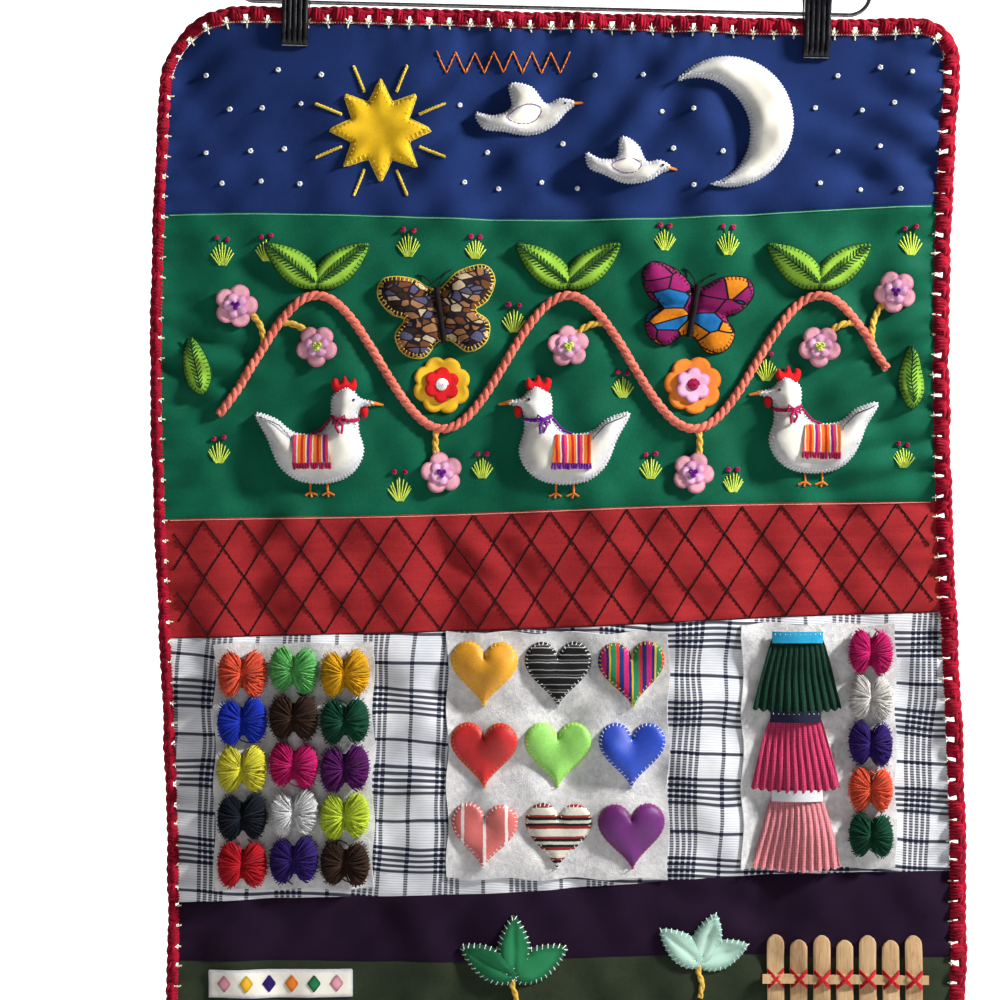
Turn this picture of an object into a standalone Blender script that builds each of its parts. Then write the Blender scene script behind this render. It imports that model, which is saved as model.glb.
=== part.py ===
# An arpillera: a wall textile of sewn cloth bands with padded motifs and a crochet edge.
# It hangs from the two clips of a wire hanger. The cloth faces -Y, +Z is up, and the
# origin is the place inside the hanger's hook that bears on a rail.
# Sizes are in millimetres and become metres where a mesh is made. On the cloth, u runs
# right from its left edge and v runs down from its top edge.
import math

import bmesh
import bpy
from mathutils import Vector

MM = 0.001
GAP = 0.3

# The cloth and its hanger
CLOTH_WIDTH = 440.0
CLOTH_HEIGHT = 590.0
CLOTH_TOP = -105.0
CLOTH_THICK = 1.6
FELT_THICK = 1.2
SWAY = 5.0
SWAY_LENGTH = 620.0
SWAY_MIDDLE = 345.0
CORNER_RADIUS = {"top left": 34.0, "top right": 16.0, "bottom": 9.0}
CELL_WIDE = 44.0
CELL_TALL = 110.0
SEAM_STEP = 40.0

BAR_DROP = 95.0
BAR_WIRE = 2.4
BAR_HALF = 181.0
LOOP_HEIGHT = 24.0
HANGER_TILT = 1.35
HOOK_WIRE = 3.2
HOOK_INNER_RADIUS = 20.0
FERRULE = {"width": 16.0, "depth": 7.0, "height": 8.0}
CLIP_AT = {"left": -146.0, "right": 151.0}
CLIP_WIDTH = 15.5
CLIP_RIBS = 5
RIB_DEPTH = 0.7
CLOTH_FLAT_NEAR_CLIP = (42.0, 100.0)

# Crochet edge, worked in posts between an outer chain and the cloth
STITCHES = 176
CLOSED_WIDTH = 6.4
CHAIN_THICK = 4.6
ROOT_THICK = 1.8
POST_SHARE = 0.42
CHAIN_SHARE = 0.50
ROOT_SHARE = 0.16
EDGE_WIDTH = {"left": 5.6, "right": 8.6, "top": 8.8, "bottom": 8.0}

# How far the cloth's top edge stands above its nominal line, along x
TOP_EDGE = (
    # x, rise
    (-220.0, 0.0),
    (-180.0, 1.6),
    (-123.0, 1.2),
    (-77.0, 0.1),
    (0.0, -1.7),
    (80.0, -3.8),
    (116.0, -5.2),
    (173.0, -5.8),
    (220.0, -5.4),
)

# Soft folds of the hanging cloth, where depth is how far it comes forward
FOLDS = (
    # x, v, lean, half width, half length, depth
    (-15.0, 90.0, 0.00, 52.0, 130.0, -3.0),
    (62.0, 70.0, -0.25, 50.0, 120.0, 3.0),
    (-205.0, 20.0, 0.40, 60.0, 70.0, -6.0),
    (205.0, 30.0, -0.30, 62.0, 80.0, 4.5),
    (-118.0, 210.0, 0.10, 60.0, 130.0, 2.6),
    (12.0, 240.0, 0.00, 55.0, 120.0, 2.4),
    (128.0, 235.0, 0.12, 58.0, 120.0, -2.6),
    (-62.0, 350.0, -0.08, 56.0, 130.0, -2.8),
    (70.0, 390.0, 0.06, 58.0, 140.0, 3.0),
    (196.0, 400.0, 0.05, 50.0, 150.0, -4.0),
    (-200.0, 420.0, 0.00, 56.0, 150.0, 3.2),
    (-120.0, 540.0, 0.05, 56.0, 120.0, -3.2),
    (-20.0, 560.0, 0.00, 52.0, 120.0, 3.6),
    (110.0, 550.0, -0.05, 56.0, 120.0, -3.4),
    (195.0, 585.0, -0.10, 52.0, 90.0, 4.0),
)

# Where each seam between two bands lies
SEAMS = {
    # v at the middle, rise over the width, wave height, wave length, wave start
    "sky_field": (107.5, 5.0, 3.0, 430.0, 132.5),
    "field_lattice": (276.0, 12.0, 0.7, 300.0, 0.0),
    "lattice_check": (342.8, 15.5, 0.9, 380.0, 60.0),
    "check_ground": (491.0, 20.5, 1.6, 300.0, 30.0),
    "ground_grass": (532.0, 5.0, 1.2, 260.0, 0.0),
}
BANDS = (
    # panel, seam above, seam below, colour
    ("panel_sky", None, "sky_field", "blue"),
    ("panel_field", "sky_field", "field_lattice", "green"),
    ("panel_lattice", "field_lattice", "lattice_check", "red"),
    ("panel_check", "lattice_check", "check_ground", "check"),
    ("panel_ground", "check_ground", "ground_grass", "plum"),
    ("panel_grass", "ground_grass", None, "olive"),
)

COLOURS = {
    # red, green, blue, roughness, metallic
    "blue": (0.030, 0.060, 0.250, 0.85, 0.0),
    "green": (0.000, 0.190, 0.080, 0.85, 0.0),
    "red": (0.400, 0.025, 0.030, 0.85, 0.0),
    "check": (0.560, 0.570, 0.620, 0.85, 0.0),
    "plum": (0.020, 0.006, 0.030, 0.85, 0.0),
    "olive": (0.050, 0.070, 0.035, 0.85, 0.0),
    "crimson": (0.420, 0.005, 0.030, 0.90, 0.0),
    "white": (0.780, 0.770, 0.720, 0.95, 0.0),
    "yellow": (0.800, 0.480, 0.030, 0.90, 0.0),
    "coral": (0.780, 0.180, 0.120, 0.90, 0.0),
    "pink": (0.650, 0.270, 0.340, 0.90, 0.0),
    "lime": (0.320, 0.600, 0.070, 0.90, 0.0),
    "leaf": (0.070, 0.260, 0.060, 0.90, 0.0),
    "mint": (0.300, 0.560, 0.460, 0.90, 0.0),
    "print": (0.240, 0.100, 0.050, 0.80, 0.0),
    "orange": (0.800, 0.300, 0.010, 0.70, 0.0),
    "yarn": (0.250, 0.010, 0.080, 0.95, 0.0),
    "wood": (0.560, 0.360, 0.190, 0.70, 0.0),
    "plastic": (0.008, 0.008, 0.012, 0.35, 0.0),
    "steel": (0.600, 0.600, 0.620, 0.25, 1.0),
}


# Smooth shapes used by the cloth

def bell(t):
    if abs(t) >= 1.0:
        return 0.0
    return math.cos(math.pi * t / 2) ** 2


def smooth(t):
    t = min(1.0, max(0.0, t))
    return t * t * (3 - 2 * t)


def eased(table, x):
    # The table's second column at x, eased between its rows
    for (x0, y0), (x1, y1) in zip(table, table[1:]):
        if x <= x1:
            return y0 + (y1 - y0) * smooth((x - x0) / (x1 - x0))
    return table[-1][1]


def sway(v):
    return SWAY * math.sin(2 * math.pi * (v - SWAY_MIDDLE) / SWAY_LENGTH)


def down(v):
    return CLOTH_TOP - v


def seam_height(name, x):
    v, rise, wave, length, start = SEAMS[name]
    ripple = wave * math.sin(2 * math.pi * (x - start) / length)
    return down(v) + rise * x / CLOTH_WIDTH + ripple


def tilted(x, z):
    # A point of the hanger after it has tipped about the rail
    a = math.radians(HANGER_TILT)
    return x * math.cos(a) + z * math.sin(a), z * math.cos(a) - x * math.sin(a)


def fold(x, z):
    # How far the middle of the cloth comes forward at a place
    v = CLOTH_TOP - z
    depth = 0.0
    for fold_x, fold_v, lean, half_width, half_length, forward in FOLDS:
        across = (x - fold_x - lean * (v - fold_v)) / half_width
        depth += forward * bell(across) * bell((v - fold_v) / half_length)
    for side in CLIP_AT.values():
        clip_x, clip_z = tilted(side, -BAR_DROP)
        inner, outer = CLOTH_FLAT_NEAR_CLIP
        away = math.hypot(x - clip_x, z - clip_z + 20.0)
        depth *= smooth((away - inner) / (outer - inner))
    return depth


KNOTS = {}


def knot(i, j):
    if (i, j) not in KNOTS:
        KNOTS[i, j] = fold(i * CELL_WIDE, j * CELL_TALL)
    return KNOTS[i, j]


def facet(x, z):
    # The fold again, flat between the corners of the grid's triangles
    i, j = math.floor(x / CELL_WIDE), math.floor(z / CELL_TALL)
    s, t = x / CELL_WIDE - i, z / CELL_TALL - j
    near, far = knot(i, j), knot(i + 1, j + 1)
    if s >= t:
        side = knot(i + 1, j)
        return near + s * (side - near) + t * (far - side)
    side = knot(i, j + 1)
    return near + t * (side - near) + s * (far - side)


# Solids

def clear_scene():
    for item in list(bpy.data.objects):
        bpy.data.objects.remove(item)


def material(name):
    if name in bpy.data.materials:
        return bpy.data.materials[name]
    red, green, blue, roughness, metallic = COLOURS[name]
    made = bpy.data.materials.new(name)
    made.use_nodes = True
    shader = made.node_tree.nodes["Principled BSDF"]
    shader.inputs["Base Color"].default_value = (red, green, blue, 1.0)
    shader.inputs["Roughness"].default_value = roughness
    shader.inputs["Metallic"].default_value = metallic
    return made


def solid(name, mesh_maker, colour, round_piece=False):
    bm = bmesh.new()
    mesh_maker(bm)
    bmesh.ops.recalc_face_normals(bm, faces=bm.faces)
    if bm.calc_volume(signed=True) < 0:
        bmesh.ops.reverse_faces(bm, faces=bm.faces)
    mesh = bpy.data.meshes.new(name)
    for corner in bm.verts:
        corner.co *= MM
    bm.to_mesh(mesh)
    bm.free()
    made = bpy.data.objects.new(name, mesh)
    bpy.context.scene.collection.objects.link(made)
    mesh.materials.append(material(colour))
    if round_piece:
        mesh.shade_smooth()
        mesh.set_sharp_from_angle(angle=math.radians(40))
    return made


def cut_where(bm, point, normal):
    everything = bm.verts[:] + bm.edges[:] + bm.faces[:]
    bmesh.ops.bisect_plane(bm, geom=everything, plane_co=point, plane_no=normal, dist=1e-5)


def grid_lines(values):
    return range(math.floor(min(values)) + 1, math.ceil(max(values)))


def lay_on_cloth(bm):
    # Cuts a flat piece along the grid's triangles and lays it on the folds
    for i in grid_lines([p.co.x / CELL_WIDE for p in bm.verts]):
        cut_where(bm, (i * CELL_WIDE, 0, 0), (1, 0, 0))
    for j in grid_lines([p.co.z / CELL_TALL for p in bm.verts]):
        cut_where(bm, (0, 0, j * CELL_TALL), (0, 0, 1))
    for k in grid_lines([p.co.x / CELL_WIDE - p.co.z / CELL_TALL for p in bm.verts]):
        cut_where(bm, (k * CELL_WIDE, 0, 0), (1 / CELL_WIDE, 0, -1 / CELL_TALL))
    for p in bm.verts:
        p.co.y -= facet(p.co.x, p.co.z)


def skin(bm, rings):
    # Joins closed rings of equal length in order, and caps the first and last
    rows = [[bm.verts.new(p) for p in ring] for ring in rings]
    count = len(rows[0])
    for lower, upper in zip(rows, rows[1:]):
        for k in range(count):
            after = (k + 1) % count
            bm.faces.new((lower[k], lower[after], upper[after], upper[k]))
    bm.faces.new(rows[0])
    bm.faces.new(rows[-1][::-1])


def level(outline, forward):
    return [Vector((x, -forward, z)) for x, z in outline]


def flat_piece(name, outline, colour, back, front):
    def make(bm):
        skin(bm, [level(outline, back), level(outline, front)])
        lay_on_cloth(bm)
    return solid(name, make, colour)


def nearest_on(spine, x, z):
    best = None
    for (ax, az), (bx, bz) in zip(spine, spine[1:]) if len(spine) > 1 else [spine * 2]:
        dx, dz = bx - ax, bz - az
        long = dx * dx + dz * dz
        t = 0.0 if long == 0 else min(1.0, max(0.0, ((x - ax) * dx + (z - az) * dz) / long))
        place = (ax + t * dx, az + t * dz)
        away = math.hypot(x - place[0], z - place[1])
        if best is None or away < best[0]:
            best = (away, place)
    return best[1]


def shrunk(outline, spine, share):
    ring = []
    for x, z in outline:
        sx, sz = nearest_on(spine, x, z)
        ring.append((sx + (x - sx) * share, sz + (z - sz) * share))
    return ring


def dome(outline, spine, back, rim, crown, top_share=0.55):
    # A stuffed piece: a low wall at its sewn edge and a crown over its spine
    def make(bm):
        skin(bm, [
            level(outline, back),
            level(outline, back + rim),
            level(shrunk(outline, spine, top_share), back + rim + crown),
        ])
    return make


def padded_piece(name, outline, spine, colour, *heights):
    solid(name, laid(dome(outline, spine, *heights)), colour, round_piece=True)


def laid(maker):
    def make(bm):
        maker(bm)
        lay_on_cloth(bm)
    return make


# Outlines, as lists of (x, z), anticlockwise

def placed(outline, u, v, turn=0.0, size=1.0):
    a = math.radians(turn)
    middle_x, middle_z = u - CLOTH_WIDTH / 2, down(v)
    made = []
    for x, z in outline:
        made.append((
            middle_x + size * (x * math.cos(a) - z * math.sin(a)),
            middle_z + size * (x * math.sin(a) + z * math.cos(a)),
        ))
    return made


def petals(radius, count, notch, points):
    ring = []
    for k in range(count * points):
        a = 2 * math.pi * k / (count * points)
        swell = abs(math.cos(count * a / 2))
        ring.append((radius * (1 - notch + notch * swell) * math.cos(a),
                     radius * (1 - notch + notch * swell) * math.sin(a)))
    return ring


def star(count, outer, inner):
    ring = []
    for k in range(2 * count):
        a = math.pi / 2 + math.pi * k / count
        r = inner if k % 2 else outer
        ring.append((r * math.cos(a), r * math.sin(a)))
    return ring


def heart(width, height, points):
    ring = []
    for k in range(points):
        t = 2 * math.pi * k / points
        lobes = 13 * math.cos(t) - 5 * math.cos(2 * t) - 2 * math.cos(3 * t) - math.cos(4 * t)
        ring.append((-width / 32 * 16 * math.sin(t) ** 3, height / 29 * (lobes + 2.5)))
    return ring


def leaf(length, width, points):
    # A leaf that grows along +z from its foot at the middle
    right, left = [], []
    for k in range(points + 1):
        t = k / points
        half = width / 2 * math.sin(math.pi * t ** 0.8) ** 0.75 if 0 < k < points else 0.0
        right.append((half, length * t))
        if 0 < k < points:
            left.append((-half, length * t))
    return right + left[::-1]


def leaf_spine(length):
    return [(0.0, length * 0.2), (0.0, length * 0.8)]


def crescent(outer, inner, shift, points):
    # A moon whose horns point to -x
    reach = (outer ** 2 - inner ** 2 + shift ** 2) / (2 * shift)
    outer_half = math.acos(-reach / outer)
    inner_half = math.acos((shift - reach) / inner)
    ring = []
    for k in range(points + 1):
        a = -outer_half + 2 * outer_half * k / points
        ring.append((outer * math.cos(a), outer * math.sin(a)))
    for k in range(1, points):
        a = inner_half - 2 * inner_half * k / points
        ring.append((-shift + inner * math.cos(a), inner * math.sin(a)))
    return ring


def crescent_spine(outer, inner, shift):
    middle = (outer + inner - shift) / 2
    spread = (-70, -35, 0, 35, 70)
    return [(middle * math.cos(math.radians(a)), middle * math.sin(math.radians(a))) for a in spread]


# The sewn motifs. Each row is a place on the cloth and a size.

MOON = {"u": 318.0, "v": 55.0, "outer": 37.0, "inner": 31.0, "shift": 19.0, "turn": 18.0}
STAR = {"u": 120.0, "v": 60.0, "points": 8, "outer": 29.0, "inner": 17.0}

# A dove, half in profile, that flies towards +x
DOVE = (
    (33.0, 3.0), (24.0, 8.5), (13.0, 7.0), (5.0, 20.0), (-9.0, 25.0), (-11.0, 9.0),
    (-24.0, 6.0), (-36.0, 11.0), (-33.0, -1.0), (-20.0, -6.0), (-2.0, -12.0), (15.0, -9.0),
    (25.0, -2.0),
)
DOVE_SPINE = ((-22.0, 1.5), (-4.0, 1.0), (18.0, 1.5))
DOVES = (
    # name, u, v, flip, turn, size
    ("dove_left", 205.0, 52.0, 1, 12.0, 0.82),
    ("dove_right", 262.0, 82.0, 1, -4.0, 0.70),
)

# A sitting hen that looks towards +x
HEN = (
    (18.0, 31.0), (25.0, 24.0), (34.0, 21.0), (25.5, 17.0), (24.0, 6.0), (27.0, -7.0),
    (21.0, -19.0), (8.0, -25.0), (-10.0, -24.0), (-22.0, -15.0), (-29.0, 1.0), (-36.0, 15.0),
    (-24.0, 12.0), (-13.0, 4.0), (1.0, 4.0), (8.0, 12.0), (9.0, 25.0),
)
HEN_SPINE = ((17.0, 21.0), (14.0, 2.0), (0.0, -9.0), (-20.0, 0.0))
HENS = (
    # name, u, v, flip, turn, size
    ("hen_left", 84.0, 236.0, 1, 0.0, 0.98),
    ("hen_middle", 226.0, 236.0, -1, 0.0, 1.00),
    ("hen_right", 368.0, 230.0, -1, 0.0, 0.98),
)

# The right half of a butterfly, from its head to its foot
WING = (
    (3.0, 15.0), (14.0, 23.0), (29.0, 25.0), (34.0, 16.0), (28.0, 5.0), (20.0, 0.0),
    (27.0, -8.0), (24.0, -19.0), (13.0, -23.0), (4.0, -15.0),
)
BUTTERFLY_SPINE = ((-18.0, 6.0), (0.0, 1.0), (18.0, 6.0))
BUTTERFLIES = (
    # name, u, v, turn, size
    ("butterfly_left", 154.0, 165.0, 8.0, 0.98),
    ("butterfly_right", 298.0, 163.0, -10.0, 0.94),
)

# The vine that winds along the green band
VINE = {
    "from u": 28.0, "to u": 408.0, "middle v": 192.0, "height": 38.0, "wave": 143.0,
    "first crest": 84.0, "width": 6.0, "thick": 3.0, "step": 12.0,
}
FLOWERS = (
    # name, u, v, foot on the vine u, bow of the stalk, radius
    ("flower_1", 38.0, 160.0, 54.0, 5.0, 12.5),
    ("flower_2", 84.0, 183.0, 63.0, -4.0, 12.0),
    ("flower_3", 155.0, 255.0, 152.0, 2.0, 12.0),
    ("flower_4", 227.0, 183.0, 248.0, 4.0, 12.0),
    ("flower_5", 298.0, 255.0, 301.0, -2.0, 12.0),
    ("flower_6", 370.0, 183.0, 391.0, 4.0, 12.0),
    ("flower_7", 413.0, 152.0, 399.0, -4.0, 12.0),
)
TALL_FLOWERS = (
    # name, u, v, radius
    ("tall_flower_left", 155.0, 205.0, 16.5),
    ("tall_flower_right", 298.0, 205.0, 16.5),
)
LEAVES = (
    # name, foot u, foot v, turns of its blades, length, width
    ("leaf_1", 84.0, 147.5, (-52.0, 52.0), 40.0, 18.0),
    ("leaf_2", 227.0, 147.5, (-52.0, 52.0), 40.0, 18.0),
    ("leaf_3", 370.0, 147.5, (-52.0, 52.0), 40.0, 18.0),
    ("leaf_4", 18.0, 208.0, (12.0,), 34.0, 15.0),
    ("leaf_5", 423.0, 216.0, (2.0,), 36.0, 14.0),
)
LEAF_CROSSING = 2.5

FELT_PANELS = (
    # name, u from, u to, v from, v to
    ("felt_left", 26.0, 116.0, 352.0, 492.0),
    ("felt_middle", 158.0, 284.0, 346.0, 486.0),
    ("felt_right", 326.0, 414.0, 341.0, 480.0),
)
HEARTS = {"columns": 3, "rows": 3, "u": 179.0, "v": 370.0, "across": 42.0, "apart": 46.0,
          "width": 38.0, "height": 38.0}
YARN_COLUMNS = (
    # name, u, v of the first ball, balls, pitch, radius
    ("yarn_column_1", 42.0, 369.0, 5, 27.0, 14.0),
    ("yarn_column_2", 71.0, 367.0, 5, 27.0, 14.0),
    ("yarn_column_3", 100.0, 369.0, 5, 27.0, 14.0),
    ("yarn_column_4", 399.0, 357.0, 5, 26.0, 12.5),
)
FANS = (
    # name, u, v of the fan's top, width, height
    ("fan_1", 357.0, 347.0, 50.0, 42.0),
    ("fan_2", 356.0, 392.0, 50.0, 42.0),
    ("fan_3", 357.0, 437.0, 50.0, 42.0),
)
FAN_PLEATS = 6
FAN_TOP_SHARE = 0.52
RAFT = {"u": 386.0, "v": 543.0, "sticks": 7, "stick": 9.6, "space": 3.4, "height": 44.0, "thick": 2.0,
        "rail": 5.0}
STRIP = {"u from": 22.0, "u to": 104.0, "v from": 538.0, "v to": 554.0}
SPRIGS = (
    # name, u, v, turns of its blades, length, width, colour
    ("leaf_sprig_left", 196.0, 541.0, (-62.0, 0.0, 62.0), 37.0, 19.0, "leaf"),
    ("leaf_sprig_right", 302.0, 534.0, (-70.0, -18.0, 50.0), 32.0, 17.0, "mint"),
)


def flipped(points, flip):
    turned = [(flip * x, z) for x, z in points]
    return turned if flip > 0 else turned[::-1]


def vine_height(u):
    wave = math.cos(2 * math.pi * (u - VINE["first crest"]) / VINE["wave"])
    return VINE["middle v"] - VINE["height"] * wave


def ribbon(line, width, back, front):
    # A closed strip along a line of (x, z), narrower at its front
    def make(bm):
        rings = []
        for k, (x, z) in enumerate(line):
            ahead, behind = line[min(k + 1, len(line) - 1)], line[max(k - 1, 0)]
            along = Vector((ahead[0] - behind[0], ahead[1] - behind[1])).normalized()
            side = Vector((along.y, -along.x)) * width / 2
            rings.append([
                Vector((x + side.x * share, -forward, z + side.y * share))
                for share, forward in ((-1, back), (1, back), (0.6, front), (-0.6, front))
            ])
        skin(bm, rings)
    return make


def stalk_line(u0, v0, u1, v1, bow, steps):
    # A bowed line from (u0, v0) to (u1, v1)
    line = []
    for k in range(steps + 1):
        t = k / steps
        across, drop = u1 - u0, v1 - v0
        long = math.hypot(across, drop)
        push = bow * math.sin(math.pi * t) / long
        line.append((u0 + across * t - drop * push - CLOTH_WIDTH / 2, down(v0 + drop * t + across * push)))
    return line


def combine(piece, other, operation):
    # Changes a piece by another solid, which is then removed
    change = piece.modifiers.new("combine", "BOOLEAN")
    change.operation = operation
    change.object = other
    bpy.context.view_layer.objects.active = piece
    bpy.ops.object.modifier_apply(modifier=change.name)
    bpy.data.objects.remove(other)


def joined(name, makers, colour):
    # One solid from several that overlap
    first = solid(name, makers[0], colour, round_piece=True)
    for maker in makers[1:]:
        combine(first, solid(name + "_part", maker, colour), "UNION")
    return first


ON_CLOTH = CLOTH_THICK / 2 + GAP
ON_FELT = ON_CLOTH + FELT_THICK + GAP


def make_sky_motifs():
    ring = crescent(MOON["outer"], MOON["inner"], MOON["shift"], 12)
    spine = crescent_spine(MOON["outer"], MOON["inner"], MOON["shift"])
    at = (MOON["u"], MOON["v"], MOON["turn"])
    padded_piece("moon", placed(ring, *at), placed(spine, *at), "white", ON_CLOTH, 1.5, 6.0)
    ring = star(STAR["points"], STAR["outer"], STAR["inner"])
    at = (STAR["u"], STAR["v"])
    padded_piece("star", placed(ring, *at), placed([(0, 0)], *at), "yellow", ON_CLOTH, 1.5, 3.5)
    for name, u, v, flip, turn, size in DOVES:
        ring = flipped(DOVE, flip)
        spine = flipped(DOVE_SPINE, flip)
        padded_piece(name, placed(ring, u, v, turn, size), placed(spine, u, v, turn, size), "white",
                     ON_CLOTH, 1.5, 4.5, 0.5)


def make_field_motifs():
    for name, u, v, flip, turn, size in HENS:
        ring = flipped(HEN, flip)
        spine = flipped(HEN_SPINE, flip)
        padded_piece(name, placed(ring, u, v, turn, size), placed(spine, u, v, turn, size), "white",
                     ON_CLOTH, 1.5, 7.0, 0.5)
    for name, u, v, turn, size in BUTTERFLIES:
        left = [(-x, z) for x, z in WING]
        ring = left + list(WING)[::-1]
        padded_piece(name, placed(ring, u, v, turn, size), placed(BUTTERFLY_SPINE, u, v, turn, size),
                     "print", ON_CLOTH, 1.5, 4.0, 0.5)
    steps = round((VINE["to u"] - VINE["from u"]) / VINE["step"])
    line = []
    for k in range(steps + 1):
        u = VINE["from u"] + (VINE["to u"] - VINE["from u"]) * k / steps
        line.append((u - CLOTH_WIDTH / 2, down(vine_height(u))))
    vine = ribbon(line, VINE["width"], ON_CLOTH, ON_CLOTH + VINE["thick"])
    solid("vine", laid(vine), "coral", round_piece=True)
    for name, u, v, foot, bow, radius in FLOWERS:
        make_flower(name, u, v, foot, bow, radius)
    for name, u, v, radius in TALL_FLOWERS:
        ring = placed(petals(radius, 6, 0.18, 3), u, v)
        padded_piece(name, ring, placed([(0, 0)], u, v), "orange", ON_CLOTH, 2.6, 2.6, 0.5)
    for name, u, v, turns, length, width in LEAVES:
        lay_existing(joined(name, leaf_blades(u, v, turns, length, width), "lime"))


def leaf_blades(u, v, turns, length, width):
    # Padded leaves that grow from one foot, each a little thicker than the last
    blades = []
    for k, turn in enumerate(turns):
        ring = placed([(x, z - LEAF_CROSSING) for x, z in leaf(length, width, 6)], u, v, turn)
        spine = placed(leaf_spine(length), u, v, turn)
        blades.append(dome(ring, spine, ON_CLOTH, 1.4 + 0.3 * k, 2.0, 0.4))
    return blades


def make_flower(name, u, v, foot, bow, radius):
    # A felt rosette and the stalk that runs from it to the vine's edge
    head = dome(placed(petals(radius, 5, 0.22, 3), u, v), placed([(0, 0)], u, v), ON_CLOTH, 3.0, 3.0, 0.45)
    vine_v = vine_height(foot)
    towards = Vector((u - foot, v - vine_v)).normalized()
    clear = VINE["width"] / 2 + 3.2
    line = stalk_line(foot + towards.x * clear, vine_v + towards.y * clear, u, v, bow, 3)
    stalk = ribbon(line, 4.0, ON_CLOTH, ON_CLOTH + 2.2)
    lay_existing(joined(name, [head, stalk], "pink"))


def make_check_motifs():
    for name, u0, u1, v0, v1 in FELT_PANELS:
        corners = [(u0, v1), (u1, v1), (u1, v0), (u0, v0)]
        outline = [(u - CLOTH_WIDTH / 2, down(v)) for u, v in corners]
        flat_piece(name, outline, "white", ON_CLOTH, ON_CLOTH + FELT_THICK)
    for row in range(HEARTS["rows"]):
        for column in range(HEARTS["columns"]):
            u = HEARTS["u"] + HEARTS["across"] * column
            v = HEARTS["v"] + HEARTS["apart"] * row
            ring = placed(heart(HEARTS["width"], HEARTS["height"], 14), u, v)
            name = f"heart_{row * HEARTS['columns'] + column + 1}"
            padded_piece(name, ring, placed([(0, -4), (0, 3)], u, v), "orange", ON_FELT, 1.0, 3.2)
    for name, u, v, balls, pitch, radius in YARN_COLUMNS:
        solid(name, laid(yarn_column(u, v, balls, pitch, radius)), "yarn", round_piece=True)
    for name, u, v, width, height in FANS:
        solid(name, laid(pleated_fan(u, v, width, height)), "pink")


def yarn_column(u, v, balls, pitch, radius):
    # Wound balls sewn one below the other, touching, flat at the back
    slices = ((-0.97, 0.52), (-0.45, 0.95), (0.45, 0.95))
    section = ((0.90, 0.0), (1.0, 0.10), (0.55, 0.85), (-0.55, 0.85), (-1.0, 0.10), (-0.90, 0.0))
    stations = [(ball + along / 2, share) for ball in range(balls) for along, share in slices]
    stations.append((balls - 0.52, slices[0][1]))

    def make(bm):
        rings = []
        for along, share in stations:
            ring = []
            for across, forward in section:
                x = u - CLOTH_WIDTH / 2 + radius * share * across
                ring.append(Vector((x, -ON_FELT - radius * share * forward, down(v + along * pitch))))
            rings.append(ring)
        skin(bm, rings)
    return make


def pleated_fan(u, v, width, height):
    # A pleated skirt of cloth, gathered along its top into a narrow band
    def make(bm):
        columns = 2 * FAN_PLEATS
        rings = []
        for k in range(columns + 1):
            share = k / columns - 0.5
            ridge = 3.6 if k % 2 else 2.0
            top = share * width * FAN_TOP_SHARE + u - CLOTH_WIDTH / 2
            foot = share * width + u - CLOTH_WIDTH / 2
            droop = height + 2.0 * math.cos(math.pi * share)
            rings.append([
                Vector((top, -ON_FELT, down(v))),
                Vector((foot, -ON_FELT, down(v + droop))),
                Vector((foot, -ON_FELT - ridge, down(v + droop))),
                Vector((top, -ON_FELT - ridge * 0.6 - 0.6, down(v))),
            ])
        skin(bm, rings)
    return make


def make_ground_motifs():
    half_rail = RAFT["rail"] / 2
    span = RAFT["sticks"] * (RAFT["stick"] + RAFT["space"])

    def slab(u0, u1, v0, v1, back, front):
        outline = [(u0, v1), (u1, v1), (u1, v0), (u0, v0)]
        flat = [(u - CLOTH_WIDTH / 2, down(v)) for u, v in outline]
        return lambda bm: skin(bm, [level(flat, back), level(flat, front)])
    thick = RAFT["thick"]
    u0 = RAFT["u"] - span / 2
    parts = [slab(u0 - 3.0, u0 + span, RAFT["v"] - half_rail, RAFT["v"] + half_rail,
                  ON_CLOTH + thick - 0.4, ON_CLOTH + 2 * thick)]
    for k in range(RAFT["sticks"]):
        left = u0 + k * (RAFT["stick"] + RAFT["space"])
        tall = RAFT["height"] * (0.5 if k % 2 else 0.56)
        parts.append(slab(left, left + RAFT["stick"], RAFT["v"] - tall, RAFT["v"] + RAFT["height"] * 0.5,
                          ON_CLOTH, ON_CLOTH + thick))
    lay_existing(joined("stick_raft", parts, "wood"))
    for name, u, v, turns, length, width, colour in SPRIGS:
        lay_existing(joined(name, leaf_blades(u, v, turns, length, width), colour))
    lay_existing(joined("patterned_strip", [
        slab(STRIP["u from"], STRIP["u to"], STRIP["v from"], STRIP["v to"], ON_CLOTH, ON_CLOTH + FELT_THICK)
    ], "white"))


def lay_existing(made):
    bm = bmesh.new()
    bm.from_mesh(made.data)
    for corner in bm.verts:
        corner.co /= MM
    lay_on_cloth(bm)
    for corner in bm.verts:
        corner.co *= MM
    bm.to_mesh(made.data)
    bm.free()


# The cloth's outline and its bands

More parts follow.
